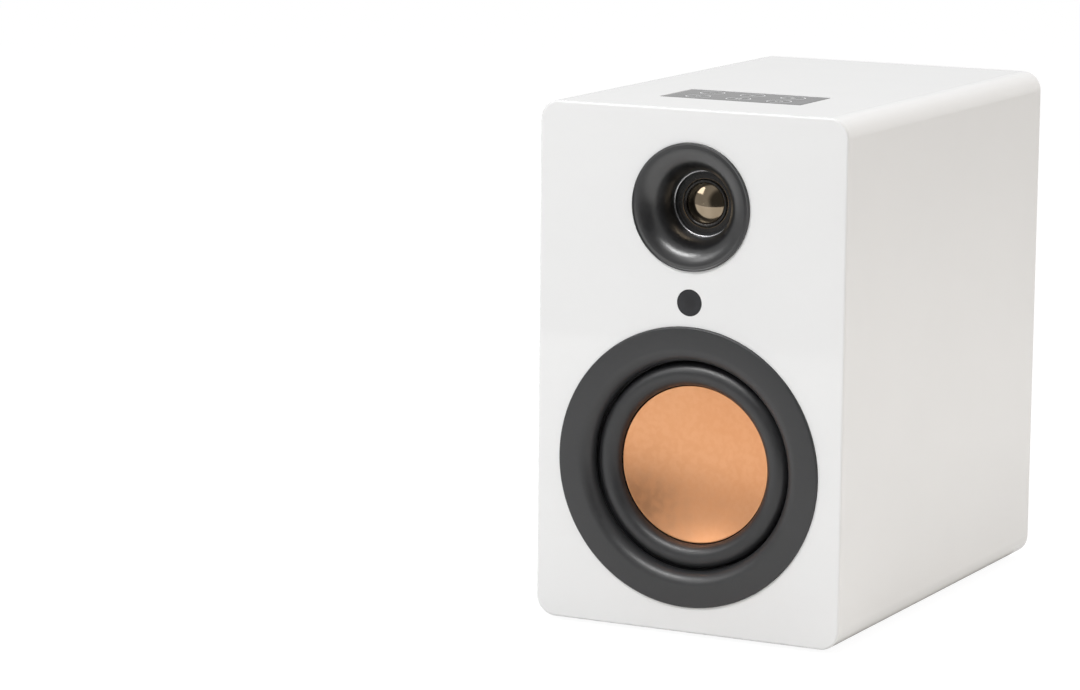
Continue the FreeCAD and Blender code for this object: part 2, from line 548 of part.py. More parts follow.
# ---------------------------------------------------------------- woofer
def woofer():
    """The woofer from its trim ring back to its yoke."""
    height = "woofer_height"
    screw_holes = circle_of(4, "woofer_screw_circle", "woofer_screw_radius + hole_gap")
    roll_depth = "(trim_roll - trim_proud)"
    roll_middle = "(trim_throat + trim_roll)"
    underside = "(trim_wall - trim_proud)"
    turned("woofer_trim_ring", height, [
        (roll_middle, "-trim_proud"),
        ("trim_throat", roll_depth, roll_middle, roll_depth),
        ("trim_throat + trim_wall", roll_depth),
        (roll_middle, underside, roll_middle, roll_depth),
        ("trim_radius - trim_skirt", underside),
        ("trim_radius - trim_skirt", REBATE),
        ("trim_radius", REBATE),
        ("trim_radius", "trim_edge - trim_proud"),
        ("trim_radius - trim_edge", "-trim_proud", "trim_radius - trim_edge", "trim_edge - trim_proud"),
    ])

    seat_back = "(seat_depth + seat_thickness)"
    shelf_back = "(shelf_depth + shelf_thickness)"
    basket = turned("woofer_basket", height, [
        (FLANGE_RADIUS, "flange_front"),
        (FLANGE_RADIUS, FLANGE_BACK),
        ("basket_radius", FLANGE_BACK),
        ("basket_radius", seat_back),
        ("shelf_outer", shelf_back),
        ("shelf_inner + neck_wall", shelf_back),
        ("shelf_inner + neck_wall", "basket_base"),
        ("base_bore", "basket_base"),
        ("base_bore", "basket_base - base_thickness"),
        ("shelf_inner", "basket_base - base_thickness"),
        ("shelf_inner", "shelf_depth"),
        ("shelf_outer - spoke_wall", "shelf_depth"),
        ("basket_radius - spoke_wall", seat_back),
        ("seat_radius", seat_back),
        ("seat_radius", "seat_depth"),
        ("basket_radius - basket_wall", "seat_depth"),
        ("basket_radius - basket_wall", "flange_front"),
    ])
    low, high = "(180 - window_angle / 2)", "(180 + window_angle / 2)"
    opening = [
        (f"window_far * cos({low})", f"window_far * sin({low})"),
        (f"window_far * cos({high})", f"window_far * sin({high})", "0", "0"),
        (f"window_near * cos({high})", f"window_near * sin({high})"),
        (f"window_near * cos({low})", f"window_near * sin({low})", "0", "0"),
    ]
    window = pocket(basket, [opening], "shelf_depth - window_start", offset="-window_start")
    around(basket, window, "N_Axis", 6)
    pocket(basket, screw_holes, FLANGE_BACK)

    gasket = ring("woofer_gasket", height, "basket_radius + gasket_gap", FLANGE_RADIUS, FLANGE_BACK, REBATE)
    pocket(gasket, screw_holes, REBATE)
    screw_points = [(x, f"woofer_height + {y}") for x, y, _ in screw_holes]
    screws("woofer_screws", screw_points, "flange_front", ("woofer_head_radius", "woofer_head_height"),
           ("woofer_screw_radius", "woofer_screw_length"), 1)

    crest = "(dish_radius + soft_gap + roll_radius)"
    front = "(seat_depth - roll_skin)"
    glue = f"({crest} + roll_radius + glue_width)"
    turned("woofer_surround", height, half_roll(crest, "roll_radius", "roll_skin", front, glue))

    sphere = "((dish_radius ^ 2 + dish_hollow ^ 2) / (2 * dish_hollow))"
    centre = f"(dish_depth + dish_hollow - {sphere})"
    behind = f"({sphere} + dish_thickness)"
    dish_back = f"({centre} + sqrt({behind} ^ 2 - dish_radius ^ 2))"
    turned("woofer_dish", height, [
        ("0", f"{centre} + {sphere}", "0", centre),
        ("0", f"{centre} + {behind}"),
        ("dish_radius", dish_back, "0", centre),
        ("dish_radius", "dish_depth"),
    ])

    rim = "(dish_radius - cone_lip)"
    rim_depth = f"({centre} + sqrt({behind} ^ 2 - {rim} ^ 2) + glue_line)"
    neck = f"({FORMER_OUTER} + glue_line)"
    neck_back = "(cone_neck_depth + cone_neck_length)"
    turned("woofer_cone", height, [
        (rim, rim_depth),
        ("dish_radius", rim_depth),
        (f"{neck} + cone_thickness", "cone_neck_depth"),
        (f"{neck} + cone_thickness", neck_back),
        (neck, neck_back),
        (neck, "cone_neck_depth - cone_thickness"),
    ])
    ring("woofer_former", height, "former_radius", FORMER_OUTER, "former_front", FORMER_BACK)
    coil = f"({FORMER_OUTER} + glue_line)"
    coil_front = f"{FORMER_BACK} - coil_length"
    ring("woofer_voice_coil", height, coil, f"{coil} + coil_wire", coil_front, FORMER_BACK)
    spider_front = "shelf_depth - spider_thickness"
    ring("woofer_spider", height, f"{FORMER_OUTER} + soft_gap", "spider_radius", spider_front, "shelf_depth")
    ring("woofer_top_plate", height, "plate_bore", "plate_radius", "basket_base", PLATE_BACK)
    ring("woofer_magnet", height, "magnet_bore", "magnet_radius", PLATE_BACK, MAGNET_BACK)
    turned("woofer_yoke", height, [
        ("pole_vent", "basket_base"),
        ("pole_radius", "basket_base"),
        ("pole_radius", MAGNET_BACK),
        ("plate_radius", MAGNET_BACK),
        ("plate_radius", f"{MAGNET_BACK} + plate_thickness"),
        ("pole_vent", f"{MAGNET_BACK} + plate_thickness"),
    ])

    board_middle = "(shelf_inner + neck_wall + hole_gap + board_reach / 2)"
    blade_x = f"(0 - {board_middle} - board_reach / 2 + blade_width)"
    board_back = f"({shelf_back} + board_thickness)"
    board = block(f"(0 - {board_middle})", shelf_back, height, "board_reach", "board_thickness", "board_width")
    pieces = [board]
    for side in (-1, 1):
        blade_height = f"({height} + {side} * blade_spacing / 2)"
        blade = block(blade_x, board_back, blade_height, "blade_width", "blade_length", "blade_thickness")
        pieces.append(blade)
    node(group(pieces), "woofer_terminals")
    flex = round_section("flex_radius")
    leads("woofer_flex_leads", [
        ([
            (f"{blade_x} + blade_width / 2", shelf_back, f"{height} + {side} * blade_spacing / 4"),
            (f"{blade_x} + blade_width / 2 + 1", "24", f"{height} + {side} * blade_spacing / 4"),
            ("-31", "23.5", f"{height} + {side} * blade_spacing / 4"),
            ("-22", "27.5", f"{height} + {side} * blade_spacing / 4"),
            (f"0 - {neck} - cone_thickness - flex_radius", "29.5", f"{height} + {side} * blade_spacing / 4"),
        ], flex)
        for side in (-1, 1)
    ])


def half_roll(crest, radius, skin, front, edge):
    """The outline of a raised half-roll of thin skin with a flat rim outside it, from its crest's radius."""
    back = f"({front} + {skin})"
    return [
        (crest, f"{front} - {radius}", crest, front),
        (f"{crest} + {radius}", front, crest, front),
        (edge, front),
        (edge, back),
        (f"{crest} + {radius} - {skin}", back),
        (f"{crest} + {radius} - {skin}", front),
        (crest, f"{front} - {radius} + {skin}", crest, front),
        (f"{crest} - {radius} + {skin}", front, crest, front),
        (f"{crest} - {radius} + {skin}", back),
        (f"{crest} - {radius}", back),
        (f"{crest} - {radius}", front),
    ]


# ---------------------------------------------------------------- tweeter
def tweeter():
    """The tweeter from its waveguide back to its magnet pot."""
    height = "tweeter_height"
    screw_holes = circle_of(3, "tweeter_screw_circle", "tweeter_screw_radius + hole_gap", first=90)
    sine, cosine = "sin(guide_turn)", "cos(guide_turn)"
    inwards, backwards = "(guide_mouth - guide_throat)", f"({GUIDE_DEPTH} + guide_proud)"
    share = f"({sine} + {cosine} - 1)"
    outer_roll = f"(({inwards} * {cosine} - {backwards} * (1 - {sine})) / {share})"
    inner_roll = f"(({backwards} * {sine} - {inwards} * (1 - {cosine})) / {share})"
    outer_depth = f"({outer_roll} - guide_proud)"
    inner_middle = f"(guide_throat + {inner_roll})"
    outer_back, inner_back = f"({outer_roll} - guide_wall)", f"({inner_roll} - guide_wall)"
    foot_front = f"({GUIDE_DEPTH} - guide_foot)"
    guide = turned("tweeter_waveguide", height, [
        ("guide_mouth", "-guide_proud"),
        (f"guide_mouth - {outer_roll} * {sine}", f"{outer_depth} - {outer_roll} * {cosine}",
         "guide_mouth", outer_depth),
        ("guide_throat", GUIDE_DEPTH, inner_middle, GUIDE_DEPTH),
        ("guide_foot_radius", GUIDE_DEPTH),
        ("guide_foot_radius", foot_front),
        (f"{inner_middle} - sqrt({inner_back} ^ 2 - guide_foot ^ 2)", foot_front),
        (f"guide_mouth - {outer_back} * {sine}", f"{outer_depth} - {outer_back} * {cosine}",
         inner_middle, GUIDE_DEPTH),
        ("guide_mouth", GUIDE_BACK, "guide_mouth", outer_depth),
        ("guide_radius", GUIDE_BACK),
        ("guide_radius", "guide_edge - guide_proud"),
        ("guide_radius - guide_edge", "-guide_proud", "guide_radius - guide_edge", "guide_edge - guide_proud"),
    ])
    pocket(guide, screw_holes, "guide_foot", offset=f"0 - {foot_front}")
    ring("tweeter_gasket", height, "guide_mouth", "guide_radius", GUIDE_BACK, GUIDE_REBATE)

    film_back = f"({FILM_DEPTH} + film_thickness)"
    frame = turned("tweeter_frame", height, [
        ("frame_bore", film_back),
        ("guide_throat", film_back),
        ("guide_throat", GUIDE_DEPTH),
        ("tweeter_cutout - fit_gap", GUIDE_DEPTH),
        ("tweeter_cutout - fit_gap", "baffle_thickness"),
        ("frame_radius", "baffle_thickness"),
        ("frame_radius", FRAME_BACK),
        ("frame_bore", FRAME_BACK),
    ])
    pocket(frame, screw_holes, FRAME_BACK)
    screw_points = [(x, f"tweeter_height + {y}") for x, y, _ in screw_holes]
    screws("tweeter_screws", screw_points, FRAME_BACK, ("tweeter_head_radius", "tweeter_head_height"),
           ("tweeter_screw_radius", "tweeter_screw_length"), -1)

    crest = "(dome_radius + soft_gap + dome_roll)"
    roll = half_roll(crest, "dome_roll", "film_thickness", FILM_DEPTH, "film_radius")
    turned("tweeter_surround", height, roll)
    sphere = "((dome_radius ^ 2 + dome_rise ^ 2) / (2 * dome_rise))"
    centre = f"({FILM_DEPTH} - dome_rise + {sphere})"
    inside = f"({sphere} - film_thickness)"
    turned("tweeter_dome", height, [
        ("0", f"{FILM_DEPTH} - dome_rise"),
        ("dome_radius", FILM_DEPTH, "0", centre),
        ("dome_radius", film_back),
        (f"sqrt({inside} ^ 2 - ({centre} - {film_back}) ^ 2)", film_back),
        ("0", f"{FILM_DEPTH} - dome_rise + film_thickness", "0", centre),
    ])
    coil_front = f"({film_back} + glue_line)"
    ring("tweeter_voice_coil", height, "dome_radius - tweeter_coil_wall", "dome_radius",
         coil_front, f"{coil_front} + tweeter_coil_length")

    lip_back = f"({FRAME_BACK} + pot_lip)"
    turned("tweeter_pot", height, [
        ("pot_bore", FRAME_BACK),
        ("pot_lip_radius", FRAME_BACK),
        ("pot_lip_radius", lip_back),
        ("pot_radius", lip_back),
        ("pot_radius", POT_BACK),
        ("0", POT_BACK),
        ("0", f"{POT_BACK} - pot_base"),
        ("pot_cavity", f"{POT_BACK} - pot_base"),
        ("pot_cavity", lip_back),
        ("pot_bore", lip_back),
    ])
    tip_back = f"({FRAME_BACK} + tip_thickness)"
    ring("tweeter_pole_piece", height, "0", "tip_radius", FRAME_BACK, tip_back)
    ring("tweeter_magnet", height, "0", "disc_radius", tip_back, f"{POT_BACK} - pot_base")

    lug_middle = f"({height} - frame_radius + lug_height)"
    board_back = f"({FRAME_BACK} + board_thickness)"
    pieces = [block("0", FRAME_BACK, lug_middle, "lug_width", "board_thickness", "2 * lug_height")]
    for side in (-1, 1):
        x = f"({side} * lug_width / 3)"
        pieces.append(block(x, board_back, lug_middle, "blade_thickness", "blade_length", "lug_height"))
    node(group(pieces), "tweeter_terminals")


# ---------------------------------------------------------------- remote window and touch panel
def controls():
    """The remote control's window with its receiver, and the touch panel in the top."""
    at = "window_height"
    node(rod("0", "0", at, "remote_radius", "remote_thickness"), "remote_window")
    receiver = block("0", "(baffle_thickness - receiver_depth)", at, "receiver_size", "receiver_depth",
                     "receiver_size")
    node(receiver, "remote_receiver")
    board = block("0", "baffle_thickness", at, "remote_board_width", "remote_board_thickness",
                  "remote_board_height")
    node(board, "remote_board")

    glass_height = "(cabinet_height - glass_thickness / 2)"
    glass = block("0", "glass_near", glass_height, "glass_width", "glass_length", "glass_thickness")
    node(glass, "touch_glass")
    sheet_height = f"({LEDGE_TOP} + adhesive_thickness / 2)"
    adhesive = block("0", "glass_near", sheet_height, "glass_width", "glass_length", "adhesive_thickness")
    node(adhesive, "touch_adhesive")
    board_width = f"({TOUCH_WINDOW_WIDTH} - 2 * touch_board_gap)"
    board_length = f"({TOUCH_WINDOW_LENGTH} - 2 * touch_board_gap)"
    board_near = f"({GLASS_MIDDLE} - {board_length} / 2)"
    board_height = f"({LEDGE_TOP} - touch_board_thickness / 2)"
    board = block("0", board_near, board_height, board_width, board_length, "touch_board_thickness")
    node(board, "touch_board")
    x = "(0 - ribbon_side)"
    route = [
        (x, GLASS_MIDDLE, f"{LEDGE_TOP} - touch_board_thickness"),
        (x, GLASS_MIDDLE, "ribbon_run_height"),
        (x, "(ribbon_drop_depth + cabinet_depth / 2) / 2", "ribbon_run_height"),
        (x, "ribbon_drop_depth", "ribbon_run_height - ribbon_fall"),
        (x, "ribbon_drop_depth", f"{AMP_BOARD_TOP} - ribbon_inset"),
        (x, BOARD_FRONT, f"{AMP_BOARD_TOP} - ribbon_inset"),
    ]
    leads("touch_ribbon", [(route, flat_section("ribbon_width", "ribbon_thickness"))])


# ---------------------------------------------------------------- reflex port
def port():
    """The flared reflex tube let into the rear panel."""
    flare_start = "(cabinet_depth - port_flare)"
    tube_end = "(cabinet_depth - port_length)"
    mouth = "(port_radius + port_flare)"
    turned("port_tube", "port_height", [
        ("port_radius", tube_end),
        ("port_radius", flare_start),
        (mouth, "cabinet_depth", mouth, flare_start),
        (f"{mouth} + port_flange", "cabinet_depth"),
        (f"{mouth} + port_flange", "cabinet_depth - port_wall"),
        (mouth, "cabinet_depth - port_wall"),
        ("port_radius + port_wall", flare_start, mouth, flare_start),
        ("port_radius + port_wall", tube_end),
    ])


# ---------------------------------------------------------------- amplifier module
def plate_screw_points():
    """Where the amplifier plate's screws stand, in two columns of four."""
    side = "(bay_width - bay_ledge) / 2"
    reach = "(bay_height - bay_ledge) / 2"
    return [
        (f"{across} * {side}", f"bay_middle + {up} * {reach}")
        for across in (-1, 1)
        for up in ("(-1)", "(0 - amp_screw_share)", "amp_screw_share", "1")
    ]


def amplifier():
    """The metal plate in the back and the boards, switches and sockets that it carries."""
    width, height = "(bay_width - 2 * fit_gap)", "(bay_height - 2 * fit_gap)"
    outline = rounded(width, height, "bay_corner", y="bay_middle")
    screw_holes = [(x, up, "amp_screw_radius + hole_gap") for x, up in plate_screw_points()]
    plate = new_body(from_front("0", PLATE_INSIDE, "0"))
    pad(plate, [outline], "amp_plate_thickness")
    inlet_hole = rectangle("(inlet_body_width + fit_gap)", "(inlet_body_height + fit_gap)",
                           "(0 - socket_side)", SOCKET_HEIGHT)
    switch_hole = rectangle("(switch_body_width + fit_gap)", "(switch_body_height + fit_gap)",
                            "socket_side", SOCKET_HEIGHT)
    slot = rectangle("(slider_width + slider_travel + 2 * soft_gap)", "(slider_height + 2 * soft_gap)",
                     input_place(4), INPUT_HEIGHT)
    round_holes = [
        (input_place(0), INPUT_HEIGHT, "jack_radius + hole_gap"),
        (input_place(1), INPUT_HEIGHT, "jack_radius + hole_gap"),
        (input_place(2), INPUT_HEIGHT, "aux_radius + hole_gap"),
        (input_place(3), INPUT_HEIGHT, "button_radius + soft_gap"),
    ]
    pocket(plate, [inlet_hole, switch_hole, slot] + round_holes + screw_holes, "amp_plate_thickness")
    node(plate, "amp_plate")

    gasket = new_body(from_front("0", LEDGE, "0"))
    inner = rectangle("(bay_width - 2 * bay_ledge)", "(bay_height - 2 * bay_ledge)", y="bay_middle")
    pad(gasket, [outline, inner], "amp_gasket")
    pocket(gasket, screw_holes, "amp_gasket")
    node(gasket, "amp_plate_gasket")
    screws("amp_plate_screws", plate_screw_points(), PLATE_OUTSIDE, ("amp_head_radius", "amp_head_height"),
           ("amp_screw_radius", "amp_screw_length"), -1)
    boards()
    mains()
    inputs()


def boards():
    """The two circuit boards on their posts, and the large parts on them."""
    posts = []
    for label, middle in (("amp_board", AMP_BOARD_MIDDLE), ("power_board", POWER_BOARD_MIDDLE)):
        node(block("0", BOARD_FRONT, middle, BOARD_WIDTH, "board_sheet", BOARD_HEIGHT), label)
        for across in (-1, 1):
            for up in (-1, 1):
                x = f"{across} * ({BOARD_WIDTH} / 2 - post_inset)"
                z = f"({middle} + {up} * ({BOARD_HEIGHT} / 2 - post_inset))"
                posts.append(rod(x, BOARD_BACK, z, "post_radius", "post_length"))
    node(group(posts), "board_standoffs")

    sink_x, sink_z = "sink_side", f"({AMP_BOARD_MIDDLE} - sink_drop)"
    pieces = [block(sink_x, f"({BOARD_FRONT} - sink_base)", sink_z, "sink_width", "sink_base", "sink_height")]
    for index in range(SIZES["sink_fins"]):
        offset = f"(({index} / (sink_fins - 1) - 0.5) * (sink_width - sink_fin))"
        pieces.append(block(f"{sink_x} + {offset}", f"({BOARD_FRONT} - sink_depth)", sink_z, "sink_fin",
                            "sink_depth", "sink_height"))
    node(fused(pieces), "heat_sink")

    core_x, core_z = "(0 - core_side)", POWER_BOARD_MIDDLE
    core = block(core_x, f"({BOARD_FRONT} - core_depth)", core_z, "core_width", "core_depth", "core_height")
    opening = block(core_x, f"({BOARD_FRONT} - core_depth)", core_z, "(winding_width + 2 * hole_gap)",
                    "core_depth", "(winding_height + 2 * hole_gap)")
    winding = block(core_x, f"({BOARD_FRONT} - core_depth - winding_bulge)", core_z, "winding_width",
                    "(core_depth + winding_bulge)", "winding_height")
    node(group([cut(core, [opening]), winding]), "power_transformer")

    cans = []
    for index in range(2):
        x = f"(big_can_side + {index} * big_can_spacing)"
        cans.append(rod(x, f"({BOARD_FRONT} - big_can_length)", f"({POWER_BOARD_MIDDLE} + can_rise)",
                        "big_can_radius", "big_can_length"))
    for index in range(3):
        x = f"({index} * small_can_spacing - small_can_side)"
        cans.append(rod(x, f"({BOARD_FRONT} - small_can_length)", f"({AMP_BOARD_MIDDLE} + can_rise)",
                        "small_can_radius", "small_can_length"))
    node(group(cans), "filter_capacitors")
    module_z = f"({AMP_BOARD_MIDDLE} - module_drop)"
    module = block("(0 - module_side)", f"({BOARD_FRONT} - module_thickness)", module_z, "module_width",
                   "module_thickness", "module_height")
    node(module, "wireless_module")


def mains():
    """The figure-of-eight mains inlet, and the rocker switch in its housing."""
    x, depth = "(0 - socket_side)", "(amp_plate_thickness + post_length)"
    inlet = fused([
        block(x, PLATE_OUTSIDE, SOCKET_HEIGHT, "inlet_width", "bezel_thickness", "inlet_height"),
        block(x, BOARD_BACK, SOCKET_HEIGHT, "inlet_body_width", depth, "inlet_body_height"),
    ])
    mouth_front = f"({PLATE_OUTSIDE} + bezel_thickness - inlet_mouth_depth)"
    mouth = block(x, mouth_front, SOCKET_HEIGHT, "inlet_mouth_width", "inlet_mouth_depth",
                  "inlet_mouth_height")
    pins = [
        rod(f"{x} + {side} * pin_spacing / 2", mouth_front, SOCKET_HEIGHT, "pin_radius", "pin_length")
        for side in (-1, 1)
    ]
    node(group([cut(inlet, [mouth])] + pins), "mains_inlet")

    x = "socket_side"
    pivot = f"({PLATE_OUTSIDE} + hole_gap)"
    housing = fused([
        block(x, PLATE_OUTSIDE, SOCKET_HEIGHT, "switch_width", "bezel_thickness", "switch_height"),
        block(x, BOARD_BACK, SOCKET_HEIGHT, "switch_body_width", depth, "switch_body_height"),
    ])
    cavity_width = "(switch_body_width - 2 * switch_wall)"
    cavity_tall = "(switch_body_height - 2 * switch_wall)"
    cavity_depth = "(rocker_thickness + 2 * bezel_thickness)"
    cavity = block(x, f"({PLATE_OUTSIDE} + bezel_thickness - {cavity_depth})", SOCKET_HEIGHT, cavity_width,
                   cavity_depth, cavity_tall)
    pin = primitive("Part::Cylinder", from_front(f"{x} - switch_body_width / 2", pivot, SOCKET_HEIGHT),
                    Radius="pivot_radius", Height="switch_body_width")
    pin.Placement.Rotation = Rotation(Vector(0, 1, 0), 90)
    node(fused([cut(housing, [cavity]), pin]), "power_switch_housing")

    half = "(rocker_thickness / 2)"
    reach = f"(({cavity_tall} / 2 - soft_gap - {half} * sin(rocker_tilt)) / cos(rocker_tilt))"
    rocker = new_body(from_front(x, pivot, SOCKET_HEIGHT))
    profile = [
        (f"0 - {half}", f"0 - {reach}"),
        (half, f"0 - {reach}"),
        (f"{half} - rocker_notch", "0"),
        (half, reach),
        (f"0 - {half}", reach),
    ]
    sketch = draw(rocker, "YZ_Plane", [profile, ("0", "0", "pivot_radius + pivot_gap")])
    feature(rocker, "Pad", sketch, Length=f"{cavity_width} - 2 * soft_gap", Midplane=True)
    rocker.Placement.Rotation = Rotation(Vector(1, 0, 0), number("rocker_tilt"))
    node(rocker, "power_rocker")


def input_place(index):
    """How far across the plate the socket, button or slider of a place in the row stands."""
    return f"({index - 2} * jack_spacing)"


def inputs():
    """The row of two line sockets, the auxiliary socket, the pairing button and the channel slider."""
    line_sockets = []
    for index in (0, 1):
        x = input_place(index)
        outer = fused([
            block(x, BOARD_BACK, INPUT_HEIGHT, "jack_body", "post_length", "jack_body"),
            rod(x, PLATE_INSIDE, INPUT_HEIGHT, "jack_radius", "(amp_plate_thickness + jack_reach)"),
        ])
        bore = rod(x, PLATE_INSIDE, INPUT_HEIGHT, "jack_bore", "(amp_plate_thickness + jack_reach)")
        line_sockets.append(cut(outer, [bore]))
    node(group(line_sockets), "line_input_jacks")

    x = input_place(2)
    outer = fused([
        block(x, BOARD_BACK, INPUT_HEIGHT, "aux_body", "post_length", "aux_body"),
        rod(x, PLATE_INSIDE, INPUT_HEIGHT, "aux_radius", "(amp_plate_thickness + aux_reach)"),
    ])
    bore = rod(x, BOARD_BACK, INPUT_HEIGHT, "aux_bore", "(post_length + amp_plate_thickness + aux_reach)")
    node(cut(outer, [bore]), "aux_jack")

    x = input_place(3)
    stem_front = f"({PLATE_INSIDE} - button_stem)"
    length = "(button_stem + amp_plate_thickness + button_reach)"
    button = rod(x, stem_front, INPUT_HEIGHT, "button_radius", length)
    node(button, "pair_button")
    body_length = "(post_length - button_stem - button_travel - soft_gap)"
    node(block(x, BOARD_BACK, INPUT_HEIGHT, "button_body", body_length, "button_body"), "pair_switch_body")

    x = input_place(4)
    knob = block(f"({x} - slider_travel / 2)", f"({PLATE_INSIDE} - slider_reach)", INPUT_HEIGHT, "slider_width",
                 "(amp_plate_thickness + 2 * slider_reach)", "slider_height")
    node(knob, "channel_slider")
    body_length = "(post_length - slider_reach - soft_gap)"
    body = block(x, BOARD_BACK, INPUT_HEIGHT, "slider_body_width", body_length, "slider_body_height")
    node(body, "channel_switch_body")


# ---------------------------------------------------------------- leads
def driver_leads():
    """The pairs to the two drivers and the receiver's lead, all from the amplifier board."""
    wire = round_section("lead_radius")
    blade_x = "(blade_width / 2 - shelf_inner - neck_wall - hole_gap - board_reach)"
    woofer_blade_end = "(shelf_depth + shelf_thickness + board_thickness + blade_length)"
    lug_middle = "(tweeter_height - frame_radius + lug_height)"
    tweeter_blade_end = f"({FRAME_BACK} + board_thickness + blade_length)"
    receiver_board_back = "(baffle_thickness + remote_board_thickness)"
    routes = []
    for side in (-1, 1):
        height = f"(woofer_height + {side} * blade_spacing / 2)"
        routes.append([
            (blade_x, woofer_blade_end, height),
            (blade_x, BRACE_BACK, height),
            ("-46", "190", f"(112 + {side} * 3)"),
            ("-40", BOARD_FRONT, f"({AMP_BOARD_MIDDLE} - can_rise + {side} * 3)"),
        ])
        routes.append([
            (f"({side} * lug_width / 3)", tweeter_blade_end, lug_middle),
            (f"({side} * lug_width / 3)", BRACE_BACK, "179"),
            (f"(40 + {side} * 2)", "195", "170"),
            (f"(42 + {side} * 2)", BOARD_FRONT, f"{AMP_BOARD_TOP} - lead_inset"),
        ])
    routes.append([
        ("6", receiver_board_back, "window_height"),
        ("14", "60", "169"),
        ("18", BRACE_BACK, "171"),
        ("26", "200", "160"),
        ("28", BOARD_FRONT, f"{AMP_BOARD_TOP} - lead_inset"),
    ])
    leads("internal_leads", [(route, wire) for route in routes])


# ---------------------------------------------------------------- build, check and write
cabinet()
woofer()
tweeter()
controls()
port()
amplifier()
driver_leads()
doc.recompute()

for thing in doc.Objects:
    if "Invalid" in thing.State or "Error" in thing.State:
        raise ValueError(f"{thing.Label} failed: {thing.State}")
labels = [thing.Label for thing in nodes]
if len(set(labels)) != len(labels) or len(labels) > 60:
    raise ValueError(f"{len(labels)} labels, {len(set(labels))} of them different")
for thing in nodes:
    if thing.Shape.isNull() or not thing.Shape.isValid() or not thing.Shape.Solids:
        raise ValueError(f"{thing.Label} is not a valid solid")

os.makedirs("parts", exist_ok=True)
for thing in nodes:
    thing.Shape.exportStep(f"parts/{thing.Label}.step")
    print(thing.Label, len(thing.Shape.Solids))
print(len(nodes), "nodes")
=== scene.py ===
"""Looks of a powered two-way bookshelf speaker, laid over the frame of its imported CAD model.

Everything is in metres in the part's own frame: +X to the right of a person who faces the front, +Y from
the front to the back, +Z up, with the origin on the floor under the speaker's middle. The rigid CAD pieces
keep their shapes and get finishes; soft and finely shaped pieces are replaced by surfaces worked out here.
"""
import json
import logging
import math
from dataclasses import dataclass, field
from enum import Enum
from typing import Any

import bpy
import numpy as np
from mathutils import Matrix, Vector


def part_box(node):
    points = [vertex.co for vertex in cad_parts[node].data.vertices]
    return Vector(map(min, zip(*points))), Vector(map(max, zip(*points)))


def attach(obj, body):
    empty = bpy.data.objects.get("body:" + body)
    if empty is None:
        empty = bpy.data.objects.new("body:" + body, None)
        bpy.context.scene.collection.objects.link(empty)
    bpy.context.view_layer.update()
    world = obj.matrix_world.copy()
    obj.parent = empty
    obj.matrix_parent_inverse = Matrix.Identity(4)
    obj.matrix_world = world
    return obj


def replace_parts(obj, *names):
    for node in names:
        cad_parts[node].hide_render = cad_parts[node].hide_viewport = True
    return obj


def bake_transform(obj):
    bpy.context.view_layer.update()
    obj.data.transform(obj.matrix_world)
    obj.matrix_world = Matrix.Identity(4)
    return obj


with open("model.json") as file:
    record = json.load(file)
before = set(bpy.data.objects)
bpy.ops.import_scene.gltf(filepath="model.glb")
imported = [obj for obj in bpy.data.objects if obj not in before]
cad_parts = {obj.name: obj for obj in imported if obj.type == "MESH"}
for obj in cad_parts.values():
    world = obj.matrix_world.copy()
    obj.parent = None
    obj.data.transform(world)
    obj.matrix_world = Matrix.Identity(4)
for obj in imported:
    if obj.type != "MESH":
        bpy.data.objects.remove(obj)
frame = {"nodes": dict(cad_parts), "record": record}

log = logging.getLogger("speaker")

MM = 0.001

Colour = tuple[float, float, float]
Point = tuple[float, float, float]

WHITE: Colour = (1.0, 1.0, 1.0)


class Body(str, Enum):
    """The moving bodies of the speaker that new pieces ride on."""

    ROOT = "root"
    WOOFER = "woofer_moving"
    TWEETER = "tweeter_moving"


class Pattern(Enum):
    """The surface textures, each of them one shared node group."""

    GRAIN = "speaker_fine_grain"
    TURNED = "speaker_turned_lines"
    WOUND = "speaker_wound_wire"
    WEAVE = "speaker_weave"
    FIBRE = "speaker_fibre"
    BRUSHED = "speaker_brushed_lines"


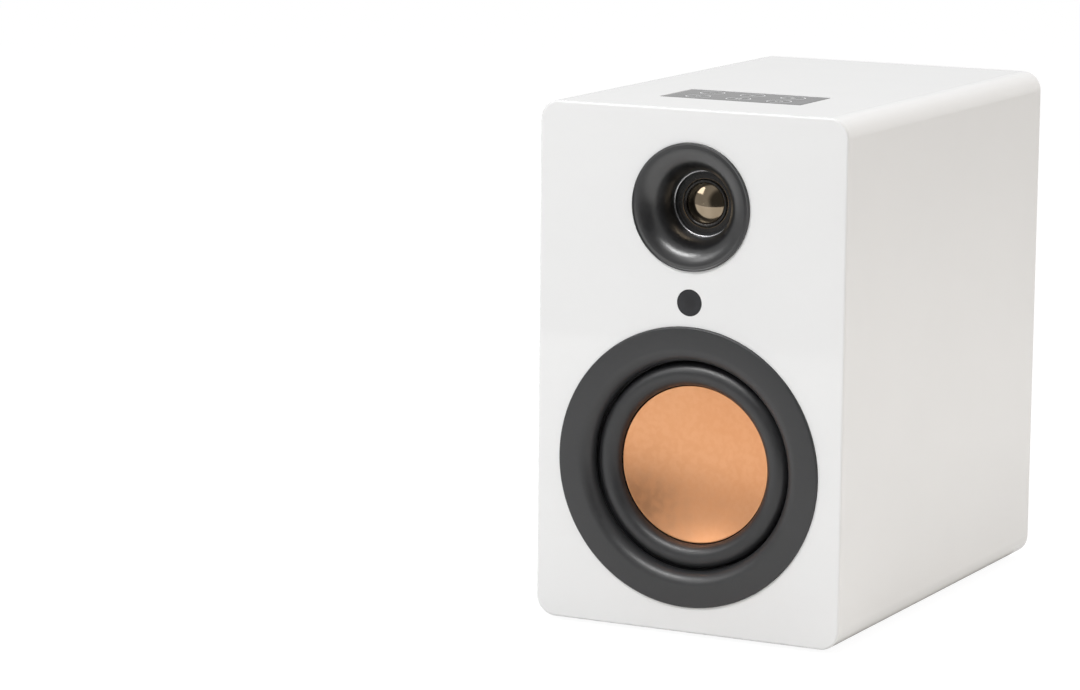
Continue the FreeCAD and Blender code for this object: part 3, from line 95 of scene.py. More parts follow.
# ---------------------------------------------------------------- node wiring
class Wiring:
    """Adds nodes to one node tree and joins them by their sockets' names."""

    def __init__(self, tree: bpy.types.NodeTree) -> None:
        """Starts on an emptied tree.

        Args:
            tree: the material's, world's or group's node tree.
        """
        self.tree = tree
        self.tree.nodes.clear()

    def node(self, kind: str, inputs: dict[Any, Any] | None = None, **settings: Any) -> bpy.types.Node:
        """Adds one node.

        Args:
            kind: the node's type name, without its ShaderNode prefix.
            inputs: a value or another node's output for each input, by name or number.
            **settings: the node's own properties.

        Returns:
            The new node.
        """
        made = self.tree.nodes.new(kind if kind.startswith("NodeGroup") else f"ShaderNode{kind}")
        made.location = (200 * len(self.tree.nodes), 0)
        for name, value in settings.items():
            setattr(made, name, value)
        for name, value in (inputs or {}).items():
            if isinstance(value, bpy.types.NodeSocket):
                self.tree.links.new(value, made.inputs[name])
            elif isinstance(value, tuple) and made.inputs[name].type == "RGBA":
                made.inputs[name].default_value = (*value, 1.0)
            else:
                made.inputs[name].default_value = value
        return made

    def math(self, operation: str, first: Any, second: Any = 0.0) -> bpy.types.NodeSocket:
        """A sum, product or function of one or two numbers or sockets."""
        return self.node("Math", {0: first, 1: second}, operation=operation).outputs[0]

    def mix(self, share: Any, first: Any, second: Any) -> bpy.types.NodeSocket:
        """A blend of two colours, by the second one's share."""
        return self.node("Mix", {0: share, 6: first, 7: second}, data_type="RGBA").outputs[2]

    def vector(self, operation: str, first: Any, second: Any) -> bpy.types.NodeSocket:
        """A sum, product or dot product of two vectors."""
        made = self.node("VectorMath", {0: first, 1: second}, operation=operation)
        return made.outputs["Value" if operation == "DOT_PRODUCT" else "Vector"]

    def spread(self, value: Any, low: float, high: float, start: float = 0.0,
               end: float = 1.0) -> bpy.types.NodeSocket:
        """Maps a number from one range smoothly to another.

        Args:
            value: the number's socket.
            low: the number that gives start.
            high: the number that gives end.
            start: the result at low.
            end: the result at high.

        Returns:
            The result's socket.
        """
        inputs = {"Value": value, "From Min": low, "From Max": high, "To Min": start, "To Max": end}
        return self.node("MapRange", inputs, interpolation_type="SMOOTHSTEP").outputs["Result"]

    def apart(self, vector: Any) -> bpy.types.NodeOutputs:
        """The X, Y and Z outputs of a vector's socket."""
        return self.node("SeparateXYZ", {0: vector}).outputs


@dataclass(frozen=True)
class Effects:
    """The shared node groups: textures with a height and a mask, and effects that change a colour.

    A range is the two values between which a mask goes from nought to one. A stretch is how much slower a
    noise changes along the fibres or brush strokes than across them.
    """

    noise_range: tuple[float, float] = (0.35, 0.65)
    grain_mask_scale: float = 9.0
    lathe_uneven: float = 0.7
    lathe_wave: float = 0.3
    lathe_range: tuple[float, float] = (0.3, 0.7)
    weave_range: tuple[float, float] = (-0.4, 0.4)
    fibre_bend_scale: float = 60.0
    fibre_bend: float = 0.012
    fibre_stretch: float = 0.16
    fibre_range: tuple[float, float] = (0.4, 0.75)
    brush_stretch: float = 0.025
    brush_mask_scale: float = 6.0
    tone_range: tuple[float, float] = (0.38, 0.66)
    wear_turn: tuple[float, float] = (0.98, 0.8)
    wear_size: float = 0.0025
    wear_range: tuple[float, float] = (0.35, 0.6)
    dust_slope: tuple[float, float] = (0.3, 1.0)
    dust_size: float = 0.004
    dust_range: tuple[float, float] = (0.3, 0.7)

    def start(self, name: str, inputs: dict[str, str], outputs: dict[str, str]) -> tuple[Wiring, Any, Any]:
        """Makes an empty group with named sockets.

        Args:
            name: the group's name.
            inputs: each input's name and kind, which is Float, Color or Vector.
            outputs: each output's name and kind.

        Returns:
            The group's wiring, its input sockets and its output node.
        """
        tree = bpy.data.node_groups.new(name, "ShaderNodeTree")
        for way, sockets in (("INPUT", inputs), ("OUTPUT", outputs)):
            for label, kind in sockets.items():
                tree.interface.new_socket(name=label, in_out=way, socket_type=f"NodeSocket{kind}")
        wiring = Wiring(tree)
        return wiring, wiring.node("NodeGroupInput").outputs, wiring.node("NodeGroupOutput")

    def texture(self, pattern: Pattern) -> tuple[Wiring, Any, Any]:
        """Starts a texture group, which takes a place and a size and gives a height and a mask."""
        inputs = {"Vector": "Vector", "Size": "Float"}
        return self.start(pattern.value, inputs, {"Height": "Float", "Mask": "Float"})

    def close(self, wiring: Wiring, output: bpy.types.Node, height: Any, mask: Any) -> None:
        """Joins a texture group's two results to its output node."""
        wiring.tree.links.new(height, output.inputs["Height"])
        wiring.tree.links.new(mask, output.inputs["Mask"])

    def noise(self, wiring: Wiring, place: Any, size: Any, detail: float = 2.0) -> bpy.types.NodeSocket:
        """Cloudy noise whose blobs are about one size across."""
        scale = wiring.math("DIVIDE", 1.0, size)
        return wiring.node("TexNoise", {"Vector": place, "Scale": scale, "Detail": detail}).outputs["Fac"]

    def build_grain(self) -> None:
        """Moulded or cast grain: fine noise for its height, and noise nine times as large for its mask."""
        wiring, given, output = self.texture(Pattern.GRAIN)
        fine = self.noise(wiring, given["Vector"], given["Size"], 3.0)
        broad = self.noise(wiring, given["Vector"], wiring.math(
            "MULTIPLY", given["Size"], self.grain_mask_scale))
        self.close(wiring, output, fine, wiring.spread(broad, *self.noise_range))

    def build_turned(self) -> None:
        """Lathe lines: a sine of the distance from the Y axis, made uneven by a noise of that distance."""
        wiring, given, output = self.texture(Pattern.TURNED)
        axes = wiring.apart(given["Vector"])
        squares = [wiring.math("MULTIPLY", axes[axis], axes[axis]) for axis in ("X", "Z")]
        radius = wiring.math("SQRT", wiring.math("ADD", *squares))
        turns = wiring.math("DIVIDE", radius, given["Size"])
        wave = wiring.math("SINE", wiring.math("MULTIPLY", turns, math.tau))
        uneven = wiring.node("TexNoise", {"W": turns, "Scale": self.lathe_uneven, "Detail": 3.0},
                             noise_dimensions="1D").outputs["Fac"]
        height = wiring.math("ADD", wiring.math("MULTIPLY", wave, self.lathe_wave), uneven)
        self.close(wiring, output, height, wiring.spread(uneven, *self.lathe_range))

    def build_wound(self) -> None:
        """Wound wire: half-round ridges along Y, one for each turn of the wire."""
        wiring, given, output = self.texture(Pattern.WOUND)
        turns = wiring.math("DIVIDE", wiring.apart(given["Vector"])["Y"], given["Size"])
        ridge = wiring.math("ABSOLUTE", wiring.math("SINE", wiring.math("MULTIPLY", turns, math.pi)))
        self.close(wiring, output, wiring.math("SQRT", ridge), ridge)

    def build_weave(self) -> None:
        """Plain weave: two crossed sets of round threads that take turns on top, chequerwise."""
        wiring, given, output = self.texture(Pattern.WEAVE)
        axes = wiring.apart(given["Vector"])
        waves = []
        for axis in ("X", "Z"):
            count = wiring.math("DIVIDE", axes[axis], given["Size"])
            waves.append(wiring.math("SINE", wiring.math("MULTIPLY", count, math.pi)))
        over = wiring.spread(wiring.math("MULTIPLY", *waves), *self.weave_range)
        threads = [wiring.math("ABSOLUTE", wave) for wave in waves]
        height = wiring.node("Mix", {0: over, 2: threads[0], 3: threads[1]}, data_type="FLOAT").outputs[0]
        self.close(wiring, output, height, over)

    def build_fibre(self) -> None:
        """Matted fibre: noise drawn out along one way and bent by a broader noise, plus the same crossed."""
        wiring, given, output = self.texture(Pattern.FIBRE)
        noise = wiring.node("TexNoise", {"Vector": given["Vector"], "Scale": self.fibre_bend_scale})
        bend = {0: noise.outputs["Color"], 3: self.fibre_bend}
        bent = wiring.node("VectorMath", bend, operation="SCALE").outputs[0]
        place = wiring.vector("ADD", given["Vector"], bent)
        strands = []
        for stretch in ((1.0, self.fibre_stretch, 1.0), (1.0, 1.0, self.fibre_stretch)):
            strands.append(self.noise(wiring, wiring.vector("MULTIPLY", place, stretch), given["Size"], 3.0))
        height = wiring.math("MAXIMUM", *strands)
        self.close(wiring, output, height, wiring.spread(height, *self.fibre_range))

    def build_brushed(self) -> None:
        """Brushed metal: noise drawn out forty times along X, and a broader one across for its mask."""
        wiring, given, output = self.texture(Pattern.BRUSHED)
        drawn = wiring.vector("MULTIPLY", given["Vector"], (self.brush_stretch, 1.0, 1.0))
        fine = self.noise(wiring, drawn, given["Size"], 3.0)
        broad = self.noise(wiring, drawn, wiring.math("MULTIPLY", given["Size"], self.brush_mask_scale))
        self.close(wiring, output, fine, wiring.spread(broad, *self.noise_range))

    def build_tone(self) -> None:
        """Uneven colour: goes from Colour to Shade by broad noise and by the texture's mask."""
        wiring, given, output = self.start(
            "speaker_tone",
            {"Vector": "Vector", "Colour": "Color", "Shade": "Color", "Size": "Float", "Mask": "Float"},
            {"Colour": "Color"},
        )
        broad = wiring.spread(self.noise(wiring, given["Vector"], given["Size"]), *self.tone_range)
        halves = (wiring.math("MULTIPLY", broad, 0.5), wiring.math("MULTIPLY", given["Mask"], 0.5))
        mixed = wiring.mix(wiring.math("ADD", *halves), given["Colour"], given["Shade"])
        wiring.tree.links.new(mixed, output.inputs["Colour"])

    def build_wear(self) -> None:
        """Edge wear: how far the surface turns within a small radius, broken up by noise."""
        wiring, given, output = self.start(
            "speaker_edge_wear", {"Vector": "Vector", "Radius": "Float"}, {"Mask": "Float"})
        rounded = wiring.node("Bevel", {"Radius": given["Radius"]}, samples=6).outputs["Normal"]
        plain = wiring.node("NewGeometry").outputs["Normal"]
        edge = wiring.spread(wiring.vector("DOT_PRODUCT", rounded, plain), *self.wear_turn)
        broken = wiring.spread(self.noise(wiring, given["Vector"], self.wear_size, 4.0), *self.wear_range)
        wiring.tree.links.new(wiring.math("MULTIPLY", edge, broken), output.inputs["Mask"])

    def build_dust(self) -> None:
        """Settled dust: more of it the more a surface faces up, thinned out by noise."""
        wiring, given, output = self.start(
            "speaker_dust", {"Vector": "Vector", "Amount": "Float"}, {"Mask": "Float"})
        normal = wiring.apart(wiring.node("NewGeometry").outputs["Normal"])
        upward = wiring.spread(normal["Z"], *self.dust_slope)
        thin = wiring.spread(self.noise(wiring, given["Vector"], self.dust_size, 5.0), *self.dust_range)
        dust = wiring.math("MULTIPLY", wiring.math("MULTIPLY", upward, thin), given["Amount"])
        wiring.tree.links.new(dust, output.inputs["Mask"])

    def build(self) -> None:
        """Makes every shared group once."""
        for make in (self.build_grain, self.build_turned, self.build_wound, self.build_weave, self.build_fibre,
                     self.build_brushed, self.build_tone, self.build_wear, self.build_dust):
            make()
        log.info("%d shared node groups", len(bpy.data.node_groups))


# ---------------------------------------------------------------- finishes
DUST: Colour = (0.45, 0.43, 0.4)


@dataclass(frozen=True)
class Finish:
    """One finish: a two-toned colour, a roughness range and a texture, with its amounts of wear and dust.

    The texture's size and depth, the size of the tone's patches and the width of the worn edges are in
    millimetres.
    """

    slot: str
    colour: Colour
    shade: Colour
    rough: tuple[float, float] = (0.4, 0.5)
    pattern: Pattern = Pattern.GRAIN
    size: float = 0.4
    depth: float = 0.01
    tone_size: float = 30.0
    metallic: float = 0.0
    specular: float = 0.5
    coat: float = 0.0
    coat_rough: float = 0.05
    sheen: float = 0.0
    worn: Colour | None = None
    wear_radius: float = 0.35
    dust: float = 0.0
    centre: Point = (0.0, 0.0, 0.0)
    turn: Point = (0.0, 0.0, 0.0)

    def build(self) -> bpy.types.Material:
        """Makes the material from the shared groups.

        Returns:
            A material named after the finish's slot.
        """
        material = bpy.data.materials.new(self.slot)
        material.use_nodes = True
        wiring = Wiring(material.node_tree)
        place = wiring.node("TexCoord").outputs["Object"]
        turned = wiring.node("Mapping", {"Vector": place, "Rotation": self.turn, "Location": tuple(
            -value for value in self.centre)}).outputs[0]
        texture = self.shared(wiring, self.pattern.value, Vector=turned, Size=self.size * MM)
        tone = self.shared(wiring, "speaker_tone", Vector=turned, Colour=self.colour, Shade=self.shade,
                           Size=self.tone_size * MM, Mask=texture["Mask"])["Colour"]
        rough = wiring.spread(texture["Mask"], 0.0, 1.0, *self.rough)
        if self.worn is not None:
            wear = self.shared(wiring, "speaker_edge_wear", Vector=place, Radius=self.wear_radius * MM)["Mask"]
            tone = wiring.mix(wear, tone, self.worn)
        if self.dust:
            dust = self.shared(wiring, "speaker_dust", Vector=place, Amount=self.dust)["Mask"]
            tone = wiring.mix(dust, tone, DUST)
        bump = wiring.node("Bump", {"Height": texture["Height"], "Distance": self.depth * MM, "Strength": 1.0})
        shader = wiring.node("BsdfPrincipled", {
            "Base Color": tone, "Roughness": rough, "Metallic": self.metallic, "Normal": bump.outputs[0],
            "Specular IOR Level": self.specular, "Coat Weight": self.coat, "Coat Roughness": self.coat_rough,
            "Sheen Weight": self.sheen,
        })
        wiring.node("OutputMaterial", {"Surface": shader.outputs[0]})
        return material

    def shared(self, wiring: Wiring, name: str, **inputs: Any) -> Any:
        """Places one of the shared groups in a material.

        Args:
            wiring: the material's wiring.
            name: the group's name.
            **inputs: a value or a socket for each of the group's inputs.

        Returns:
            The group's outputs.
        """
        placed = wiring.tree.nodes.new("ShaderNodeGroup")
        placed.node_tree = bpy.data.node_groups[name]
        for label, value in inputs.items():
            if isinstance(value, bpy.types.NodeSocket):
                wiring.tree.links.new(value, placed.inputs[label])
            elif isinstance(value, tuple):
                placed.inputs[label].default_value = (*value, 1.0)
            else:
                placed.inputs[label].default_value = value
        return placed.outputs


WOOFER_AXIS: Point = (0.0, 0.0, 85 * MM)
TWEETER_AXIS: Point = (0.0, 0.0, 214 * MM)
BARE_STEEL: Colour = (0.42, 0.42, 0.43)

FINISHES: tuple[Finish, ...] = (
    Finish("white_lacquer", (0.87, 0.87, 0.868), (0.855, 0.855, 0.853), (0.32, 0.36), size=6.0,
           depth=0.0005, tone_size=90, coat=1.0, coat_rough=0.02),
    Finish("fibreboard", (0.42, 0.29, 0.17), (0.33, 0.21, 0.11), (0.75, 0.9), Pattern.FIBRE, 0.9, 0.06, 25,
           specular=0.3),
    Finish("wool_pad", (0.72, 0.71, 0.67), (0.55, 0.54, 0.5), (0.9, 1.0), Pattern.FIBRE, 0.7, 0.4, 12,
           specular=0.2, sheen=0.4),
    Finish("foot_rubber", (0.018, 0.018, 0.018), (0.03, 0.03, 0.03), (0.7, 0.85), size=0.5, depth=0.03,
           tone_size=5, dust=0.3),
    Finish("trim_rubber", (0.0245, 0.0247, 0.0265), (0.0285, 0.0287, 0.0305), (0.36, 0.41), size=0.28,
           depth=0.004, tone_size=35, specular=0.75),
    Finish("basket_steel", (0.02, 0.02, 0.022), (0.03, 0.03, 0.033), (0.4, 0.55), size=0.8, depth=0.03,
           worn=(0.2, 0.2, 0.21), dust=0.2),
    Finish("gasket_foam", (0.02, 0.02, 0.02), (0.045, 0.045, 0.045), (0.85, 0.95), size=0.35, depth=0.12,
           tone_size=4),
    Finish("surround_rubber", (0.017, 0.0172, 0.019), (0.021, 0.0212, 0.023), (0.37, 0.42), size=0.35,
           depth=0.003, tone_size=20, specular=0.75),
    Finish("copper_dish", (0.89, 0.445, 0.225), (0.85, 0.4, 0.19), (0.33, 0.38), size=0.34, depth=0.0055,
           tone_size=40, metallic=1.0),
    Finish("black_paper", (0.02, 0.02, 0.02), (0.035, 0.034, 0.032), (0.8, 0.95), Pattern.FIBRE, 0.8, 0.12,
           8),
    Finish("former_film", (0.5, 0.24, 0.05), (0.36, 0.15, 0.03), (0.2, 0.3), size=0.6, coat=0.6),
    Finish("coil_wire", (0.72, 0.3, 0.12), (0.5, 0.18, 0.06), (0.22, 0.4), Pattern.WOUND, 0.3, 0.12, 6,
           metallic=0.9, coat=0.5, centre=WOOFER_AXIS),
    Finish("spider_cloth", (0.62, 0.48, 0.2), (0.42, 0.3, 0.1), (0.75, 0.9), Pattern.WEAVE, 0.42, 0.12, 10,
           sheen=0.2),
    Finish("motor_steel", (0.6, 0.61, 0.63), (0.5, 0.51, 0.52), (0.28, 0.42), Pattern.TURNED, 0.5, 0.012,
           18, metallic=1.0, worn=(0.72, 0.72, 0.72), dust=0.15, centre=WOOFER_AXIS),
    Finish("ferrite", (0.045, 0.045, 0.05), (0.075, 0.075, 0.08), (0.5, 0.7), Pattern.TURNED, 0.8, 0.02, 9,
           worn=(0.13, 0.13, 0.14), dust=0.25, centre=WOOFER_AXIS),
    Finish("terminal_board", (0.33, 0.17, 0.06), (0.24, 0.11, 0.035), (0.4, 0.55), Pattern.FIBRE, 0.5,
           0.02, 6, coat=0.2),
    Finish("tinsel", (0.72, 0.4, 0.2), (0.35, 0.16, 0.07), (0.3, 0.5), Pattern.WEAVE, 0.35, 0.12, 4,
           metallic=1.0, turn=(0.0, 0.7, 0.0)),
    Finish("screw_black", (0.02, 0.02, 0.022), (0.035, 0.035, 0.038), (0.3, 0.42), size=0.3, depth=0.01,
           metallic=0.6, worn=BARE_STEEL, wear_radius=0.2),
    Finish("guide_plastic", (0.005, 0.005, 0.006), (0.0075, 0.0075, 0.0085), (0.29, 0.32), size=0.3,
           depth=0.0005, tone_size=18, specular=1.0, coat=0.5, coat_rough=0.3),
    # Painted highlight: the horn's black throat bead gets a bright metal finish so that it shows a glint of
    # light.
    Finish("bead_painted_glint", (0.5, 0.5, 0.51), (0.42, 0.42, 0.43), (0.2, 0.28), size=0.4, depth=0.001,
           tone_size=4, metallic=1.0),
    Finish("dome_film", (0.36, 0.29, 0.21), (0.29, 0.23, 0.16), (0.07, 0.1), size=1.2, depth=0.004,
           tone_size=6, metallic=1.0),
    Finish("amber_film", (0.014, 0.011, 0.009), (0.009, 0.008, 0.007), (0.2, 0.3), size=0.5, depth=0.002,
           tone_size=4),
    Finish("amber_line", (0.14, 0.085, 0.035), (0.1, 0.06, 0.024), (0.25, 0.35), size=0.5, depth=0.002,
           tone_size=3, coat=0.4),
    Finish("frame_plastic", (0.014, 0.014, 0.015), (0.024, 0.024, 0.026), (0.4, 0.52), size=0.35,
           depth=0.02, worn=(0.06, 0.06, 0.06), dust=0.15),
    Finish("nickel_magnet", (0.66, 0.65, 0.62), (0.58, 0.57, 0.54), (0.12, 0.2), size=0.8, depth=0.006,
           metallic=1.0, worn=(0.75, 0.74, 0.7)),
    Finish("window_plastic", (0.022, 0.022, 0.024), (0.032, 0.032, 0.035), (0.3, 0.36), size=1.2,
           depth=0.001, tone_size=5, specular=0.35),
    Finish("receiver_epoxy", (0.012, 0.012, 0.013), (0.03, 0.03, 0.032), (0.35, 0.5), size=0.4),
    Finish("board_green", (0.01, 0.11, 0.045), (0.02, 0.19, 0.075), (0.28, 0.4), Pattern.WEAVE, 3.2, 0.01,
           9, coat=0.5, coat_rough=0.15, dust=0.15),
    Finish("touch_glass", (0.006, 0.006, 0.007), (0.01, 0.01, 0.011), (0.09, 0.12), size=2.2, depth=0.0002,
           tone_size=12, specular=0.16),
    Finish("adhesive", (0.3, 0.3, 0.3), (0.42, 0.42, 0.42), (0.6, 0.8), size=0.6, depth=0.03),
    Finish("ribbon", (0.62, 0.4, 0.13), (0.5, 0.3, 0.08), (0.35, 0.45), Pattern.BRUSHED, 0.8, 0.03, 6,
           coat=0.3),
    Finish("port_plastic", (0.02, 0.02, 0.021), (0.028, 0.028, 0.03), (0.42, 0.5), size=0.35, depth=0.012,
           dust=0.12, worn=(0.05, 0.05, 0.052)),
    Finish("plate_black", (0.022, 0.022, 0.024), (0.03, 0.03, 0.033), (0.38, 0.5), Pattern.BRUSHED, 0.35,
           0.012, 30, metallic=0.5, worn=(0.3, 0.3, 0.31), dust=0.1),
    Finish("post_brass", (0.72, 0.52, 0.22), (0.58, 0.4, 0.15), (0.2, 0.34), size=0.4, metallic=1.0),
    Finish("sink_aluminium", (0.62, 0.63, 0.64), (0.5, 0.51, 0.52), (0.3, 0.45), Pattern.BRUSHED, 0.3,
           0.02, 14, metallic=1.0, worn=(0.75, 0.75, 0.76), dust=0.2),
    Finish("transformer_core", (0.12, 0.12, 0.125), (0.2, 0.2, 0.21), (0.4, 0.6), Pattern.WOUND, 0.5, 0.08,
           8, metallic=0.7, dust=0.2),
    Finish("can_sleeve", (0.012, 0.018, 0.05), (0.02, 0.028, 0.075), (0.22, 0.32), size=0.9, depth=0.01,
           tone_size=9, coat=0.4, dust=0.2),
    Finish("module_shield", (0.6, 0.6, 0.58), (0.5, 0.5, 0.48), (0.3, 0.4), size=0.5, metallic=1.0),
    Finish("socket_plastic", (0.012, 0.012, 0.013), (0.02, 0.02, 0.022), (0.35, 0.48), size=0.3,
           depth=0.015, worn=(0.05, 0.05, 0.052), wear_radius=0.25),
    Finish("rocker_plastic", (0.016, 0.016, 0.017), (0.024, 0.024, 0.026), (0.28, 0.36), size=0.3,
           depth=0.01, worn=(0.06, 0.06, 0.062), wear_radius=0.3),
    Finish("socket_metal", (0.75, 0.7, 0.55), (0.62, 0.56, 0.42), (0.18, 0.3), size=0.3, depth=0.006,
           metallic=1.0, worn=(0.8, 0.78, 0.7)),
    Finish("button_plastic", (0.02, 0.02, 0.021), (0.03, 0.03, 0.032), (0.35, 0.45), size=0.25,
           depth=0.012, worn=(0.08, 0.08, 0.08), wear_radius=0.25),
    Finish("lead_insulation", (0.3, 0.012, 0.01), (0.4, 0.02, 0.015), (0.35, 0.48), size=0.8, depth=0.01,
           tone_size=20, coat=0.2),
    Finish("collar_red", (0.42, 0.012, 0.012), (0.34, 0.01, 0.01), (0.3, 0.4), size=0.4, depth=0.002,
           tone_size=3),
    Finish("collar_white", (0.76, 0.75, 0.72), (0.7, 0.69, 0.66), (0.3, 0.4), size=0.4, depth=0.002,
           tone_size=3),
    Finish("panel_print", (0.82, 0.83, 0.84), (0.74, 0.75, 0.76), (0.3, 0.4), size=0.3, depth=0.002,
           tone_size=4),
)


# ---------------------------------------------------------------- surfaces
@dataclass
class Surface:
    """Points and faces of one closed or open surface, as whole arrays."""

    points: np.ndarray
    faces: list[np.ndarray]

    def moved(self, offset: Point) -> "Surface":
        """The same surface in another place."""
        return Surface(self.points + offset, self.faces)

    def outward(self) -> "Surface":
        """The same closed surface with its faces outwards.

        The volume under the faces is the sum of each corner fan's triple product; if it is below nought the
        faces point inwards and each is reversed.

        Returns:
            The surface, turned right side out.
        """
        volume = 0.0
        for faces in self.faces:
            first = self.points[faces[:, 0]]
            for index in range(1, faces.shape[1] - 1):
                second, third = self.points[faces[:, index]], self.points[faces[:, index + 1]]
                volume += float(np.einsum("ij,ij->", first, np.cross(second, third)))
        return self if volume > 0 else Surface(self.points, [faces[:, ::-1] for faces in self.faces])


def joined(parts: list[Surface]) -> Surface:
    """Several surfaces as one, with each one's faces counted on from the points before it.

    Args:
        parts: the surfaces.

    Returns:
        One surface.
    """
    starts = np.cumsum([0] + [len(part.points) for part in parts])
    faces = [group + start for part, start in zip(parts, starts) for group in part.faces]
    return Surface(np.vstack([part.points for part in parts]), faces)


def grid_faces(rows: int, columns: int, close_rows: bool, close_columns: bool) -> np.ndarray:
    """The four-sided faces of a grid of points.

    Each face joins a point to its neighbours one row and one column on; a closed way wraps round.

    Args:
        rows: how many rows of points.
        columns: how many points in a row.
        close_rows: whether the last row joins the first.
        close_columns: whether each row's last point joins its first.

    Returns:
        One row of four point numbers for each face.
    """
    row, column = np.meshgrid(
        np.arange(rows if close_rows else rows - 1),
        np.arange(columns if close_columns else columns - 1), indexing="ij")
    row, column = row.ravel(), column.ravel()
    below, beside = (row + 1) % rows, (column + 1) % columns
    return np.stack([row * columns + column, row * columns + beside, below * columns + beside,
                     below * columns + column], axis=1)


def fan(middle: int, ring: np.ndarray, after: np.ndarray) -> np.ndarray:
    """Three-sided faces from one middle point to each point of a ring and the point after it."""
    return np.stack([np.full(len(ring), middle), ring, after], axis=1)


def tube_faces(rows: int, sides: int) -> list[np.ndarray]:
    """The faces of a tube of closed rings with a fan at each end.

    The rings' points are counted first, ring by ring, then the first end's middle and the last end's.

    Args:
        rows: how many rings.
        sides: how many points in a ring.

    Returns:
        The grid's faces and the two fans.
    """
    around, start = np.arange(sides), (rows - 1) * sides
    after = (around + 1) % sides
    return [grid_faces(rows, sides, False, True), fan(rows * sides, after, around),
            fan(rows * sides + 1, start + around, start + after)]


def softened(corners: np.ndarray, radius: float, steps: int = 5) -> np.ndarray:
    """A closed outline with each corner rounded.

    Each corner becomes a quadratic curve between the points a radius before and after it, or two fifths of
    the shorter side if that is less.

    Args:
        corners: the outline's corners, one row each.
        radius: how far from a corner its curve starts.
        steps: how many points a corner becomes.

    Returns:
        The rounded outline's points.
    """
    before, after = np.roll(corners, 1, axis=0) - corners, np.roll(corners, -1, axis=0) - corners
    lengths = np.linalg.norm(before, axis=1), np.linalg.norm(after, axis=1)
    reach = np.minimum(radius, 0.4 * np.minimum(*lengths))[:, None]
    start = corners + before / lengths[0][:, None] * reach
    end = corners + after / lengths[1][:, None] * reach
    t = np.linspace(0, 1, steps)[None, :, None]
    curve = (1 - t) ** 2 * start[:, None] + 2 * t * (1 - t) * corners[:, None] + t ** 2 * end[:, None]
    return curve.reshape(-1, corners.shape[1])


def turned_points(radius: np.ndarray, depth: np.ndarray, axis_height: float, front: float,
                  turns: int) -> np.ndarray:
    """An outline's points turned about an axis along Y.

    A point at radius r, depth d and angle a lies at x = r cos a, y = front + d, z = axis height + r sin a.

    Args:
        radius: each outline point's radius.
        depth: each outline point's depth, in one row or in one row for each section.
        axis_height: how high the axis is.
        front: where depth nought is along Y.
        turns: how many sections go round.

    Returns:
        The points, section by section.
    """
    angle = np.linspace(0, math.tau, turns, endpoint=False)[:, None]
    return np.stack([radius * np.cos(angle), front + depth + 0 * angle,
                     axis_height + radius * np.sin(angle)], axis=2).reshape(-1, 3)


def turned_ring(outline: np.ndarray, axis_height: float, front: float, turns: int = 160) -> Surface:
    """A closed outline turned about an axis along Y.

    Args:
        outline: radius and depth of each point, in order round the section.
        axis_height: how high the axis is.
        front: where depth nought is along Y.
        turns: how many sections go round.

    Returns:
        The closed ring.
    """
    points = turned_points(outline[None, :, 0], outline[None, :, 1], axis_height, front, turns)
    return Surface(points, [grid_faces(turns, len(outline), True, True)]).outward()


def turned_disc(outline: np.ndarray, axis_height: float, front: float, turns: int = 160,
                relief: np.ndarray | None = None) -> Surface:
    """A disc turned about an axis along Y, with a point at the middle of its front and of its back.

    It is turned as a ring is, and each middle point lies on the axis at its neighbour ring's depth.

    Args:
        outline: radius and depth from near the front's middle, round the rim, to near the back's middle.
        axis_height: how high the axis is.
        front: where depth nought is along Y.
        turns: how many sections go round.
        relief: how much is added to each depth, one row for each section, or None.

    Returns:
        The closed disc.
    """
    relief = np.zeros((turns, len(outline))) if relief is None else relief
    points = turned_points(outline[None, :, 0], outline[None, :, 1] + relief, axis_height, front, turns)
    slope = (outline[1, 1] - outline[0, 1]) / 2
    middles = np.array([[0, front + outline[0, 1] - slope + relief[:, 0].mean(), axis_height],
                        [0, front + outline[-1, 1] - slope, axis_height]])
    count, start = len(outline), np.arange(turns) * len(outline)
    after = (start + count) % (turns * count)
    faces = [grid_faces(turns, count, True, False)[:, ::-1], fan(len(points), start, after),
             fan(len(points) + 1, after + count - 1, start + count - 1)]
    return Surface(np.vstack([points, middles]), faces).outward()


def skin_of(line: np.ndarray, thickness: float) -> np.ndarray:
    """A closed outline round an open line, half a thickness to each side.

    Each point moves along the line's normal, which is its direction turned by a right angle.

    Args:
        line: the middle line's points.
        thickness: the skin's thickness.

    Returns:
        The outline, out along one side and back along the other.
    """
    along = np.gradient(line, axis=0)
    along /= np.linalg.norm(along, axis=1)[:, None]
    normal = np.stack([-along[:, 1], along[:, 0]], axis=1) * thickness / 2
    return np.vstack([line + normal, (line - normal)[::-1]])


def swept_tube(path: np.ndarray, radius: float, sides: int = 14) -> Surface:
    """A round tube along a path, with a point at the middle of each closed end.

    The ring at each path point is its place plus radius times (cos a side + sin a up), where side and up are
    square to the path's direction.

    Args:
        path: the middle line's points.
        radius: the tube's radius.
        sides: how many points go round.

    Returns:
        The closed tube.
    """
    along = np.gradient(path, axis=0)
    along /= np.linalg.norm(along, axis=1)[:, None]
    side = np.cross(along, np.array([0.0, 0.0, 1.0]))
    side /= np.linalg.norm(side, axis=1)[:, None]
    up = np.cross(side, along)
    angle = np.linspace(0, math.tau, sides, endpoint=False)
    ring = np.cos(angle)[None, :, None] * side[:, None] + np.sin(angle)[None, :, None] * up[:, None]
    points = (path[:, None] + radius * ring).reshape(-1, 3)
    return Surface(np.vstack([points, path[:1], path[-1:]]), tube_faces(len(path), sides)).outward()


